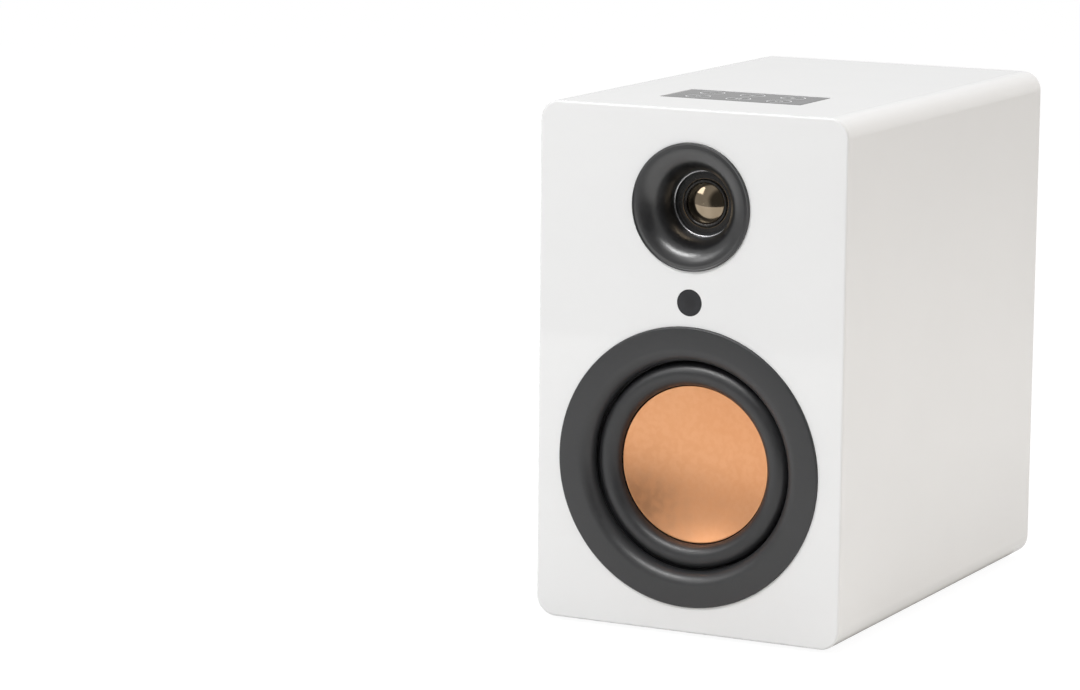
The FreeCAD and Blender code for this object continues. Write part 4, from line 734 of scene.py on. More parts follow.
def smooth_path(knots: np.ndarray, count: int) -> np.ndarray:
    """A smooth path through the neighbourhood of a few knots.

    It is a cubic B-spline, whose end knots are given three times so that it starts and ends on them: each of
    its points is a weighted mean of the four nearest knots.

    Args:
        knots: the points that lead it.
        count: how many points the path gets.

    Returns:
        The path's points.
    """
    padded = np.vstack([knots[:1], knots[:1], knots, knots[-1:], knots[-1:]])
    place = np.linspace(0, len(padded) - 3 - 1e-9, count)
    index = place.astype(int)
    t = (place - index)[:, None]
    weights = [(1 - t) ** 3, 3 * t ** 3 - 6 * t ** 2 + 4, -3 * t ** 3 + 3 * t ** 2 + 3 * t + 1, t ** 3]
    return sum(weight * padded[index + offset] for offset, weight in enumerate(weights)) / 6


def rounded_slab(low: np.ndarray, high: np.ndarray, edge: float, corner: float) -> Surface:
    """A flat slab with round corners and rounded edges, thin along Z.

    Rings of a rounded rectangle shrink to the middle on both faces: each ring is the rectangle drawn in by
    one offset, at one height, with a quarter circle of offsets and heights at each edge.

    Args:
        low: the lowest corner.
        high: the highest corner.
        edge: the radius of its top and bottom edges.
        corner: the radius of its four upright corners.

    Returns:
        The closed slab.
    """
    centre, half = (low + high) / 2, (high - low) / 2
    angle = np.linspace(0, math.tau, 128, endpoint=False) + math.pi / 128
    heading = np.stack([np.cos(angle), np.sin(angle)], axis=1)
    quarter = np.linspace(0, math.pi / 2, 7)
    shares = np.array([0.12, 0.3, 0.5, 0.7, 0.88])
    reach = min(half[0], half[1])
    inset = np.concatenate([edge * (1 - np.cos(quarter)), edge + (reach - edge) * shares])
    rise = np.concatenate([half[2] - edge * (1 - np.sin(quarter)), np.full(len(shares), half[2])])
    size = np.maximum(half[None, :2] - inset[:, None], 0)
    radius = np.clip(corner - inset, 0.02 * corner, None)
    straight = np.maximum(size - radius[:, None], 0)
    rings = np.sign(heading)[None] * straight[:, None] + heading[None] * np.minimum(
        radius[:, None], size)[:, None]
    upper = np.concatenate([rings, np.broadcast_to(rise[:, None, None], (*rings.shape[:2], 1))], axis=2)
    lower = upper[::-1] * np.array([1.0, 1.0, -1.0])
    points = np.concatenate([lower, upper]).reshape(-1, 3)
    middles = np.array([[0, 0, -half[2]], [0, 0, half[2]]])
    faces = tube_faces(2 * len(inset), len(angle))
    return Surface(np.vstack([points, middles]) + centre, faces).outward()


def put(name: str, surface: Surface, slot: str, body: Body | None = Body.ROOT,
        smooth: float = 40.0) -> bpy.types.Object:
    """Makes a piece from a surface, dresses it and lets it ride on a body.

    Args:
        name: the piece's name.
        surface: its points and faces.
        slot: the finish it takes.
        body: the body that it rides on, or None to leave it on none.
        smooth: the angle in degrees above which an edge stays sharp.

    Returns:
        The new piece.
    """
    mesh = bpy.data.meshes.new(name)
    faces = [face for group in surface.faces for face in group.tolist()]
    mesh.from_pydata(surface.points.tolist(), [], faces)
    mesh.shade_smooth()
    mesh.set_sharp_from_angle(angle=math.radians(smooth))
    mesh.materials.append(bpy.data.materials[slot])
    piece = bpy.data.objects.new(name, mesh)
    bpy.context.scene.collection.objects.link(piece)
    if body is not None:
        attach(piece, body.value)
    log.info("%s: %d points", name, len(surface.points))
    return piece


@dataclass
class Driver:
    """A loudspeaker driver, whose pieces are turned about its own axis and measured back from the front.

    The defaults are the woofer's. Crest, roll, skin, base depth and rim are the sizes of its half-round roll.
    """

    moving: Body = Body.WOOFER
    axis_height: float = WOOFER_AXIS[2]
    front: float = -127.4 * MM
    crest: float = 45.8 * MM
    roll: float = 6.0 * MM
    skin: float = 0.7 * MM
    base_depth: float = 9.25 * MM
    rim: float = 57.0 * MM

    def ring(self, outline: np.ndarray, turns: int) -> Surface:
        """An outline turned about the driver's axis."""
        return turned_ring(outline, self.axis_height, self.front, turns)

    def half_round(self, end: float, steps: int) -> np.ndarray:
        """The middle line of the roll: a half circle about the crest.

        Args:
            end: the angle in radians where it stops, short of the flat rim.
            steps: how many points it gets.

        Returns:
            Radius and depth of each point, from the inside out.
        """
        turn, radius = np.linspace(math.pi, end, steps), self.roll - self.skin / 2
        return np.stack([self.crest + radius * np.cos(turn), self.base_depth - radius * np.sin(turn)], axis=1)

    def distances(self, points: np.ndarray) -> np.ndarray:
        """How far each point is from the driver's axis."""
        return np.hypot(points[:, 0], points[:, 2] - self.axis_height)

    def stretch(self, name: str, surface: Surface, slot: str, still: float, carried: float) -> bpy.types.Object:
        """A flexible ring or lead, left on no moving body.

        The share of the movement that each point would take is worked out, falling smoothly from one at the
        inner distance from the driver's axis to nought at the outer, but nothing applies it.

        Args:
            name: the piece's name.
            surface: its points and faces.
            slot: its finish.
            still: the distance from the axis where nothing moves.
            carried: the distance from the axis where all of it moves.

        Returns:
            The new piece.
        """
        piece = put(name, surface, slot, None)
        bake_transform(piece)
        share = np.clip((still - self.distances(surface.points)) / (still - carried), 0, 1)
        share = (share * share * (3 - 2 * share)).astype(np.float32)
        return piece

    def accent(self, piece: bpy.types.Object, surface: Surface, slot: str, low: float, high: float) -> None:
        """Gives a second finish to a piece's faces between two distances from the axis.

        Args:
            piece: the piece.
            surface: the surface it was made from.
            slot: the second finish.
            low: the nearer distance.
            high: the farther distance.
        """
        piece.data.materials.append(bpy.data.materials[slot])
        distance = self.distances(surface.points[surface.faces[0]].mean(axis=1))
        chosen = (distance > low) & (distance < high)
        piece.data.polygons.foreach_set("material_index", chosen.astype(np.int32))


@dataclass
class Woofer(Driver):
    """The woofer's trim ring, dish, surround, spider and flexible leads."""

    rim_fillet: float = 1.1 * MM
    fillet_corner: float = 0.12 * MM
    rim_slack: float = 0.2 * MM
    glued_edge: float = 0.3 * MM
    spider_inner: float = 13.3 * MM
    spider_outer: float = 37.0 * MM
    spider_depth: float = 33.0 * MM
    spider_skin: float = 0.5 * MM
    corrugations: int = 5
    corrugation: float = 1.1 * MM
    inner_fade: float = 0.08
    outer_fade: float = 0.16
    spider_glue_outer: float = 3.0 * MM
    spider_glue_inner: float = 1.0 * MM
    lead_radius: float = 0.6 * MM
    lead_spread: float = 3.0 * MM
    lead_still: float = 36.0 * MM
    lead_carried: float = 17.0 * MM
    trim_radius: float = 70.0 * MM
    trim_proud: float = 1.2 * MM
    trim_edge: float = 0.9 * MM
    throat: float = 52.5 * MM
    trim_roll: float = 7.1 * MM
    trim_wall: float = 1.8 * MM
    trim_skirt: float = 1.8 * MM
    rebate: float = 6.5 * MM
    dish_radius: float = 39.4 * MM
    dish_hollow: float = 6.5 * MM
    dish_rim: float = 8.9 * MM
    dish_skin: float = 0.6 * MM

    def surround(self) -> None:
        """The rubber half-roll and its flat rim.

        The middle line is a half circle about the crest, then a small arc that turns out into the flat rim.
        """
        arc = self.half_round(0.14, 48)
        flat = np.stack([np.linspace(arc[-1, 0] + self.rim_fillet, self.rim - self.rim_slack, 8),
                         np.full(8, self.base_depth)], axis=1)
        bend = np.linspace(0, 1, 8)[1:-1, None]
        corner = np.array([arc[-1, 0] + self.fillet_corner, self.base_depth])
        fillet = (1 - bend) ** 2 * arc[-1] + 2 * bend * (1 - bend) * corner + bend ** 2 * flat[0]
        surface = self.ring(skin_of(np.vstack([arc, fillet, flat]), self.skin), 200)
        piece = self.stretch("surround_roll", surface, "surround_rubber", self.crest + self.roll,
                             self.crest - self.roll + self.glued_edge)
        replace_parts(piece, "woofer_surround")

    def spider(self) -> None:
        """The corrugated cloth disc: a sine of the radius, flat at its two glued ends."""
        radius = np.linspace(self.spider_inner, self.spider_outer, 140)
        share = (radius - self.spider_inner) / (self.spider_outer - self.spider_inner)
        ends = np.clip(np.minimum(share / self.inner_fade, (1 - share) / self.outer_fade), 0, 1)
        depth = self.spider_depth + self.corrugation * ends * np.sin(share * self.corrugations * math.tau)
        surface = self.ring(skin_of(np.stack([radius, depth], axis=1), self.spider_skin), 120)
        piece = self.stretch("spider_corrugated", surface, "spider_cloth",
                             self.spider_outer - self.spider_glue_outer,
                             self.spider_inner + self.spider_glue_inner)
        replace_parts(piece, "woofer_spider")

    def flex_leads(self) -> None:
        """The two braided leads, which leave the terminals, dip and rise again to the cone's neck."""
        knots = np.array([(-52.0, 35.6), (-51.9, 30.0), (-50.0, 24.0), (-41.0, 23.0), (-31.0, 23.6),
                          (-22.5, 27.3), (-17.5, 29.4), (-14.8, 29.5)]) * MM
        leads = []
        for side in (-1, 1):
            height = np.full(len(knots), self.axis_height + side * self.lead_spread)
            line = smooth_path(np.stack([knots[:, 0], self.front + knots[:, 1], height], axis=1), 90)
            leads.append(swept_tube(line, self.lead_radius))
        piece = self.stretch("flex_lead_braids", joined(leads), "tinsel", self.lead_still, self.lead_carried)
        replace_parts(piece, "woofer_flex_leads")

    def trim(self) -> None:
        """The trim ring with its rim and the lip of its inner roll rounded over.

        Its outline is a flat front, a quarter roll of circle down to the throat, the same drawn back by the
        wall's thickness, and a skirt at the rim.
        """
        middle = self.throat + self.trim_roll
        turn = np.linspace(0, math.pi / 2, 20)[:, None]
        drop = self.trim_roll - self.trim_proud
        centre = np.array([middle, drop])
        outer = centre + self.trim_roll * np.hstack([-np.sin(turn), -np.cos(turn)])
        inner = (centre + (self.trim_roll - self.trim_wall) * np.hstack([-np.sin(turn), -np.cos(turn)]))[::-1]
        under = self.trim_wall - self.trim_proud
        inside = self.trim_radius - self.trim_skirt
        lip = self.trim_wall / 2 * np.hstack([-np.cos(turn[::3] * 2), np.sin(turn[::3] * 2)])
        lip_centre = np.array([self.throat + self.trim_wall / 2, drop])
        back = softened(np.array([inner[-1], (inside, under), (inside, self.rebate),
                                  (self.trim_radius, self.rebate), (self.trim_radius, -self.trim_proud),
                                  outer[0]]), self.trim_edge)[5:-5]
        outline = np.vstack([outer, (lip_centre + lip)[1:-1], inner, back])
        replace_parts(put("trim_ring_turned", self.ring(outline, 256), "trim_rubber"), "woofer_trim_ring")

    def dish(self) -> None:
        """The copper dish: a spherical hollow with a rolled rim and a slightly thinner wall at the middle.

        The front is a sphere through the rim and the hollow's bottom; the back is the same sphere moved back.
        """
        radius = np.linspace(0.0, self.dish_radius - self.dish_skin / 2, 90)[1:]
        sphere = (self.dish_radius ** 2 + self.dish_hollow ** 2) / (2 * self.dish_hollow)
        depth = self.dish_rim + self.dish_hollow - sphere + np.sqrt(sphere ** 2 - radius ** 2)
        front = np.stack([radius, depth], axis=1)
        turn = np.linspace(-math.pi / 2, math.pi / 2, 9)[1:-1]
        rim = front[-1] + np.array([0.0, self.dish_skin / 2]) + self.dish_skin / 2 * np.stack(
            [np.cos(turn), np.sin(turn)], axis=1)
        outline = np.vstack([front, rim, front[::-1] + np.array([0.0, self.dish_skin])])
        surface = turned_disc(outline, self.axis_height, self.front, 256)
        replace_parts(put("dish_turned", surface, "copper_dish", self.moving), "woofer_dish")

    def build(self) -> None:
        """Makes the woofer's new pieces."""
        self.trim()
        self.dish()
        self.surround()
        self.spider()
        self.flex_leads()


@dataclass
class Tweeter(Driver):
    """The tweeter's short horn and the film roll round its dome."""

    moving: Body = Body.TWEETER
    axis_height: float = TWEETER_AXIS[2]
    crest: float = 11.05 * MM
    roll: float = 0.95 * MM
    skin: float = 0.2 * MM
    base_depth: float = 17.02 * MM
    rim: float = 14.6 * MM
    line_radius: float = 12.3 * MM
    line_width: float = 0.4 * MM
    guide_radius: float = 31.5 * MM
    mouth: float = 29.5 * MM
    throat: float = 16.3 * MM
    guide_depth: float = 16.5 * MM
    proud: float = 1.2 * MM
    wall: float = 2.5 * MM
    foot: float = 2.5 * MM
    foot_radius: float = 25.8 * MM
    turn_angle: float = math.radians(55)
    guide_edge: float = 0.5 * MM
    bead: float = 0.6 * MM
    bead_back: float = 1.2
    step: float = 0.25 * MM
    step_outer: float = 1.3 * MM
    step_inner: float = 1.0 * MM
    step_edge: float = 0.3 * MM
    shoulder: float = 3.4 * MM
    rim_start: float = 0.2 * MM
    glued_edge: float = 0.1 * MM

    def waveguide(self) -> None:
        """The short horn, turned, with a fine step inside its rim and a bead round its throat whose bright metal
        finish paints a glint of light.

        Its front is two arcs that meet with one tangent: one rolls in from the mouth, and one bends on to the
        throat, where it runs straight back. Their radii solve the two sums of the arcs' widths and depths.
        """
        sine, cosine = math.sin(self.turn_angle), math.cos(self.turn_angle)
        inwards, backwards = self.mouth - self.throat, self.guide_depth + self.proud
        share = sine + cosine - 1
        first = (inwards * cosine - backwards * (1 - sine)) / share
        second = (backwards * sine - inwards * (1 - cosine)) / share
        sweep = np.linspace(0, self.turn_angle, 22)[:, None]
        roll = np.array([self.mouth, first - self.proud]) - first * np.hstack([np.sin(sweep), np.cos(sweep)])
        sweep = np.linspace(math.pi / 2 - self.turn_angle, 0, 22)[1:, None]
        bend = np.array([self.throat + second, self.guide_depth]) - second * np.hstack(
            [np.cos(sweep), np.sin(sweep)])
        bead = np.linspace(-math.pi / 2, math.pi / 2, 9)[:, None]
        bead = np.array([self.throat, self.guide_depth - self.bead_back * self.bead]) + self.bead * np.hstack(
            [-np.cos(bead), np.sin(bead)])
        step = softened(np.array([
            (self.mouth + self.step_outer, -self.proud), (self.mouth + self.step_inner, self.step - self.proud),
            roll[1], roll[3]]), self.step_edge)[5:-5]
        front = np.vstack([step, roll[3:], bend[:-2], bead])
        lip = self.guide_depth - self.foot
        back = softened(np.array([
            front[-1], (self.throat, self.guide_depth), (self.foot_radius, self.guide_depth),
            (self.foot_radius, lip), (self.throat + self.wall, lip), (self.mouth - self.shoulder, self.wall),
            (self.mouth, self.wall - self.proud), (self.guide_radius, self.wall - self.proud),
            (self.guide_radius, -self.proud), front[0]]), self.guide_edge)[5:-5]
        surface = self.ring(np.vstack([front[:-1], back]), 256)
        piece = put("waveguide_turned", surface, "guide_plastic")
        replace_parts(piece, "tweeter_waveguide")
        # The bead's faces take the bright metal finish that paints the throat's glint of light.
        self.accent(piece, surface, "bead_painted_glint", 0.0, self.throat - 0.1 * self.bead)

    def film_roll(self) -> None:
        """The film roll round the dome: a half circle and a flat rim, with a thin amber line round it."""
        arc = self.half_round(0.2, 24)
        flat = np.stack([np.linspace(arc[-1, 0] + self.rim_start, self.rim, 16),
                         np.full(16, self.base_depth)], axis=1)
        surface = self.ring(skin_of(np.vstack([arc, flat]), self.skin), 160)
        piece = self.stretch("dome_roll", surface, "amber_film", self.crest + self.roll,
                             self.crest - self.roll + self.glued_edge)
        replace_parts(piece, "tweeter_surround")
        self.accent(piece, surface, "amber_line", self.line_radius - self.line_width / 2,
                    self.line_radius + self.line_width / 2)

    def build(self) -> None:
        """Makes the tweeter's new pieces."""
        self.waveguide()
        self.film_roll()


class Glyph(Enum):
    """The small signs inside the touch panel's rings."""

    LESS = "less"
    MORE = "more"
    PLAY = "play"
    DOT = "dot"
    BARS = "bars"
    STAND_BY = "stand_by"


@dataclass
class Print:
    """Flat printed marks, drawn on a level plane from bars and arcs."""

    stroke: float = 0.5 * MM
    sign_height: float = 3.6 * MM
    play_corners: tuple[Point, ...] = (
        (-1.1 * MM, -1.6 * MM, 0.0), (1.7 * MM, 0.0, 0.0), (-1.1 * MM, 1.6 * MM, 0.0))
    pause_width: float = 0.9 * MM
    stand_by_radius: float = 1.8 * MM
    stand_by_bar: tuple[float, float] = (1.5 * MM, 1.9 * MM)
    dot_radius: float = 1.0 * MM

    def band(self, centre: np.ndarray, radius: float, start: float = 0.0, end: float = 360.0) -> Surface:
        """A flat arc a stroke wide: points at two radii, for evenly spaced angles.

        Args:
            centre: the arc's centre.
            radius: the radius of its middle line.
            start: the angle in degrees where it starts.
            end: the angle in degrees where it ends.

        Returns:
            The arc's flat surface.
        """
        angle = np.linspace(math.radians(start), math.radians(end), 49)[:, None]
        radii = np.array([radius + self.stroke / 2, radius - self.stroke / 2])[None]
        points = np.stack([centre[0] + radii * np.cos(angle), centre[1] + radii * np.sin(angle),
                           centre[2] + 0 * radii * angle], axis=2).reshape(-1, 3)
        return Surface(points, [grid_faces(len(angle), 2, False, False)[:, ::-1]])

    def bar(self, centre: np.ndarray, x: float, y: float, width: float, length: float) -> Surface:
        """A flat rectangle about a point beside a mark's centre.

        Args:
            centre: the mark's centre.
            x: how far across from it the rectangle's middle is.
            y: how far up from it the rectangle's middle is.
            width: the rectangle's size across.
            length: its size up.

        Returns:
            The rectangle.
        """
        corners = np.array([[-1, -1], [1, -1], [1, 1], [-1, 1]]) * (width / 2, length / 2) + (x, y)
        points = np.column_stack([corners, np.zeros(4)]) + centre
        return Surface(points, [np.array([[0, 1, 2, 3]])])

    def sign(self, glyph: Glyph, centre: np.ndarray) -> Surface:
        """The sign of one key, drawn from bars and arcs.

        Args:
            glyph: which sign.
            centre: the key's centre on the glass.

        Returns:
            The sign's flat surface.
        """
        long, thin, wide = self.sign_height, self.stroke, self.pause_width
        reach = (long - thin) / 2
        if glyph is Glyph.LESS:
            return self.bar(centre, 0, 0, long, thin)
        if glyph is Glyph.MORE:
            arms = [self.bar(centre, 0, way * (thin + reach) / 2, thin, reach) for way in (-1, 1)]
            return joined([self.bar(centre, 0, 0, long, thin), *arms])
        if glyph is Glyph.PLAY:
            return Surface(np.array(self.play_corners) + centre, [np.array([[0, 1, 2]])])
        if glyph is Glyph.BARS:
            return joined([self.bar(centre, way * wide, 0, wide, long) for way in (-1, 1)])
        if glyph is Glyph.STAND_BY:
            height, length = self.stand_by_bar
            return joined([self.band(centre, self.stand_by_radius, 125, 415),
                           self.bar(centre, 0, height, thin, length)])
        return self.band(centre, self.dot_radius)


@dataclass
class TouchPanel(Print):
    """The glass touch panel in the top, with a printed ring and sign at each key."""

    sink: float = 0.03 * MM
    edge: float = 0.3 * MM
    corner: float = 1.2 * MM
    ring_radius: float = 6.1 * MM
    key_spacing: float = 22.0 * MM
    row_offset: float = 8.5 * MM

    def build(self) -> None:
        """Makes the glass, a hair below the top, and the print level with the top."""
        low, high = (np.array(corner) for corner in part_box("touch_glass"))
        sunk = high - np.array([0.0, 0.0, self.sink])
        glass = put("touch_panel_glass", rounded_slab(low, sunk, self.edge, self.corner), "touch_glass")
        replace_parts(glass, "touch_glass")
        middle = np.array([(low[0] + high[0]) / 2, (low[1] + high[1]) / 2, high[2]])
        marks = []
        for index, glyph in enumerate(Glyph):
            column, row = index % 3 - 1, 1 - 2 * (index // 3)
            centre = middle + np.array([column * self.key_spacing, row * self.row_offset, 0])
            marks += [self.band(centre, self.ring_radius), self.sign(glyph, centre)]
        put("touch_panel_print", joined(marks), "panel_print")


@dataclass
class RearPanel(Print):
    """The amplifier's rear plate: its printed marks, its line sockets' collars and its screws."""

    lift: float = 0.03 * MM
    line_ring: float = 7.4 * MM
    aux_ring: float = 6.0 * MM
    pair_ring: float = 5.2 * MM
    rule_rise: float = 12.0 * MM
    rule_past: float = 14.0 * MM
    rule_drop: float = 1.4 * MM
    rule_end: float = 2.3 * MM
    tick_from: float = 7.2 * MM
    tick_gap: float = 1.1 * MM
    tick: float = 2.6 * MM
    radio_rise: float = 9.0 * MM
    radio_dot: float = 1.0 * MM
    radio_wave: float = 2.3 * MM
    switch_marks: float = 14.5 * MM
    on_mark: float = 3.2 * MM
    off_mark: float = 1.6 * MM
    inlet_frame: tuple[float, float] = (29.0 * MM, 22.0 * MM)
    socket_half: float = 5.5 * MM
    barrel: float = 4.15 * MM
    bore: float = 1.6 * MM
    collar: float = 5.6 * MM
    collar_height: float = 1.5 * MM
    gap: float = 0.05 * MM
    insulator: float = 3.3 * MM
    insulator_height: float = 0.15 * MM
    edge: float = 0.2 * MM
    screw_share: float = 0.34
    screw_turn: float = 1.3
    head: float = 2.5 * MM
    head_height: float = 1.4 * MM
    head_fall: float = 0.55
    point_length: float = 0.6 * MM
    shank: float = 1.5 * MM
    recess: float = 0.7 * MM
    arm_half: float = 0.34 * MM
    arm_reach: float = 1.35 * MM
    arm_edge: float = 0.14 * MM

    def middle(self, node: str) -> np.ndarray:
        """The middle of a node, across and up the plate, as the print's own two coordinates."""
        centre = np.mean(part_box(node), axis=0)
        return np.array([-centre[0], centre[2], 0.0])

    def outline(self, centre: np.ndarray, width: float, height: float) -> list[Surface]:
        """A rectangle's outline, as four bars that meet at its corners.

        Args:
            centre: the rectangle's centre.
            width: its size across.
            height: its size up.

        Returns:
            The four bars.
        """
        x, y, upright = (width - self.stroke) / 2, (height - self.stroke) / 2, height - 2 * self.stroke
        return ([self.bar(centre, 0, -way * y, width, self.stroke) for way in (-1, 1)]
                + [self.bar(centre, way * x, 0, self.stroke, upright) for way in (-1, 1)])

    def marks(self) -> None:
        """The plate's print: rings round the sockets, ticks by the slider, and on and off by the rocker.

        The print is drawn level and then stood up against the plate: a point (u, v) goes to x = -u, z = v.
        """
        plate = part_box("amp_plate")[1][1]
        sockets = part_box("line_input_jacks")
        aux, pair, slider = (self.middle(node) for node in ("aux_jack", "pair_button", "channel_switch_body"))
        lines = [np.array([-x, aux[1], 0.0]) for x in (sockets[0][0] + self.socket_half,
                                                       sockets[1][0] - self.socket_half)]
        rings = [(lines[0], self.line_ring), (lines[1], self.line_ring), (aux, self.aux_ring),
                 (pair, self.pair_ring)]
        parts = [self.band(centre, radius) for centre, radius in rings]
        rule = (lines[0] + lines[1]) / 2 + (0, self.rule_rise, 0)
        span = abs(lines[0][0] - lines[1][0]) + self.rule_past
        parts.append(self.bar(rule, 0, 0, span, self.stroke))
        parts += [self.bar(rule, way * (span - self.stroke) / 2, -self.rule_drop, self.stroke, self.rule_end)
                  for way in (-1, 1)]
        parts += [self.bar(slider, place, 0, self.stroke, self.tick)
                  for place in (-self.tick_from, self.tick_from, self.tick_from + self.tick_gap)]
        radio, rocker = pair + (0, self.radio_rise, 0), self.middle("power_switch_housing")
        parts += [self.band(radio, self.radio_dot), self.band(radio, self.radio_wave, -50, 50),
                  self.band(radio, self.radio_wave, 130, 230),
                  self.bar(rocker, 0, self.switch_marks, self.stroke, self.on_mark),
                  self.band(rocker - (0, self.switch_marks, 0), self.off_mark)]
        drawn = joined(parts + self.outline(self.middle("mains_inlet"), *self.inlet_frame))
        u, v = drawn.points[:, 0], drawn.points[:, 1]
        stood = np.stack([-u, np.full(len(u), plate + self.lift), v], axis=1)
        put("rear_print", Surface(stood, drawn.faces), "panel_print")

    def collars(self) -> None:
        """The line sockets' coloured collars and the insulators in their mouths, each a turned ring."""
        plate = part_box("amp_plate")[1][1]
        low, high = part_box("line_input_jacks")
        height, reach = (low[2] + high[2]) / 2, high[1] - plate
        for x, colour in ((low[0] + self.socket_half, "red"), (high[0] - self.socket_half, "white")):
            inner = self.barrel + self.gap
            collar = softened(np.array([(inner, 0), (self.collar, 0), (self.collar, self.collar_height),
                                        (inner, self.collar_height)]), self.edge)
            mouth = softened(np.array([(self.bore + self.gap, reach), (self.insulator, reach),
                                       (self.insulator, reach + self.insulator_height),
                                       (self.bore + self.gap, reach + self.insulator_height)]), self.gap)
            rings = joined([turned_ring(outline, height, plate, 72) for outline in (collar, mouth)])
            put(f"line_collar_{colour}", rings.moved((x, 0.0, 0.0)), f"collar_{colour}")

    def screws(self) -> None:
        """The plate's screws, each a turned disc with a cross sunk in its crown.

        A crown point at radius r lies at the head's height less the head's fall times (r / R) squared, and is
        sunk by the recess's depth where it is in either arm of the cross; an arm's sides slope an edge wide.
        """
        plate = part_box("amp_plate")[1][1]
        low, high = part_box("amp_plate_screws")
        head = self.head
        radii = np.linspace(0.04, 1, 18) * head
        crown = np.stack([radii, self.head_height * (1 - self.head_fall * (radii / head) ** 2)], axis=1)
        under = np.array([(head, 0), (self.shank, 0), (self.shank, low[1] - plate + self.point_length),
                          (self.shank / 2, low[1] - plate)])
        profile = np.vstack([crown, under])
        angle = np.linspace(0, math.tau, 72, endpoint=False)[:, None]
        rows = (-1, -self.screw_share, self.screw_share, 1)
        middle, half = (low[2] + high[2]) / 2, (high[2] - low[2]) / 2 - head
        screws = []
        for index, (side, share) in enumerate([(side, share) for side in (-1, 1) for share in rows]):
            turned = angle + self.screw_turn * index
            x, z = radii * np.cos(turned), radii * np.sin(turned)
            arms = [np.clip(0.5 + (self.arm_half - np.abs(one)) / self.arm_edge, 0, 1)
                    * np.clip(0.5 + (self.arm_reach - np.abs(other)) / self.arm_edge, 0, 1)
                    for one, other in ((x, z), (z, x))]
            relief = np.zeros((len(angle), len(profile)))
            relief[:, :len(radii)] = -self.recess * np.maximum(*arms)
            screw = turned_disc(profile, middle + share * half, plate, len(angle), relief)
            screws.append(screw.moved((side * (high[0] - head), 0.0, 0.0)))
        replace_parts(put("amp_plate_screw_set", joined(screws), "screw_black", smooth=35.0), "amp_plate_screws")

    def build(self) -> None:
        """Makes the rear plate's new pieces."""
        self.marks()
        self.collars()
        self.screws()


@dataclass
class Wadding:
    """The damping wadding inside the cabinet's side walls."""

    thickness: float = 8.0 * MM
    flat: float = 0.35
    lump: float = 0.9 * MM
    waves: int = 7
    thinned: float = 0.12
    uneven: float = 0.006
    rows: int = 60
    sides: int = 160
    fullness: float = 0.35
    seed: int = 11

    def slab(self, low: np.ndarray, high: np.ndarray, generator: np.random.Generator) -> Surface:
        """A soft slab: a superellipsoid whose surface is drawn in unevenly by a few slow waves.

        A point at latitude v and longitude u is the centre plus the half size times signed powers of the
        cosines and sines of u and v; the waves are sines of its place with random directions and phases.

        Args:
            low: the slab's lowest corner.
            high: its highest corner.
            generator: the seeded source of the waves.

        Returns:
            The closed slab.
        """
        centre, half = (low + high) / 2, (high - low) / 2
        u = np.linspace(0, math.tau, self.sides, endpoint=False)[None]
        v = np.linspace(-math.pi / 2, math.pi / 2, self.rows + 2)[1:-1, None]

        def power(value: np.ndarray) -> np.ndarray:
            """A signed power, which squares off a circle as it nears nought."""
            return np.sign(value) * np.abs(value) ** self.flat

        unit = np.stack([power(np.sin(v)) + 0 * u, power(np.cos(v)) * power(np.cos(u)),
                         power(np.cos(v)) * power(np.sin(u))], axis=2).reshape(-1, 3)
        poles = np.array([[-1.0, 0, 0], [1.0, 0, 0]])
        points = np.vstack([unit, poles]) * (half - np.array([0.0, self.lump, self.lump]))
        directions = generator.normal(size=(self.waves, 3)) * np.array([10, 90, 90])
        phases = generator.uniform(0, math.tau, self.waves)
        wave = np.sin(points @ directions.T + phases).mean(axis=1)
        points[:, 0] *= 1 - self.thinned * (1 + wave)
        points[:, 1:] *= 1 + self.uneven * wave[:, None]
        return Surface(points + centre, tube_faces(self.rows, self.sides)).outward()

    def build(self) -> None:
        """Makes one pad on each side wall."""
        low, high = (np.array(corner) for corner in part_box("damping_pads"))
        generator = np.random.default_rng(self.seed)
        walls = {"wadding_left": (low[0], low[0] + self.thickness),
                 "wadding_right": (high[0] - self.thickness, high[0])}
        for name, (near, far) in walls.items():
            surface = self.slab(np.array([near, low[1], low[2]]), np.array([far, high[1], high[2]]), generator)
            piece = put(name, surface, "wool_pad")
            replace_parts(piece, "damping_pads")


# ---------------------------------------------------------------- dressing and studio
def dress_frame() -> None:
    """Gives each carried-over CAD node the finish that the record names for it."""
    for part in frame["record"]["subparts"]:
        thing = frame["nodes"][part["node"]]
        if not thing.material_slots:
            thing.data.materials.append(None)
        for place in thing.material_slots:
            place.material = bpy.data.materials[part["material_slot"]]


@dataclass
class Lamp:
    """One soft rectangular light, aimed at a point."""

    name: str
    at: Point
    aim: Point
    width: float
    height: float
    power: float
    tint: Colour = WHITE
    mirrored: bool = True

    def build(self) -> None:
        """Adds the light, which glossy surfaces mirror only if it is marked so."""
        light = bpy.data.lights.new(self.name, "AREA")
        light.shape, light.size, light.size_y = "RECTANGLE", self.width, self.height
        light.energy, light.color = self.power, self.tint
        lamp = bpy.data.objects.new(self.name, light)
        lamp.location = self.at
        lamp.visible_glossy = self.mirrored
        heading = Vector(self.aim) - Vector(self.at)
        lamp.rotation_euler = heading.to_track_quat("-Z", "Y").to_euler()
        bpy.context.scene.collection.objects.link(lamp)


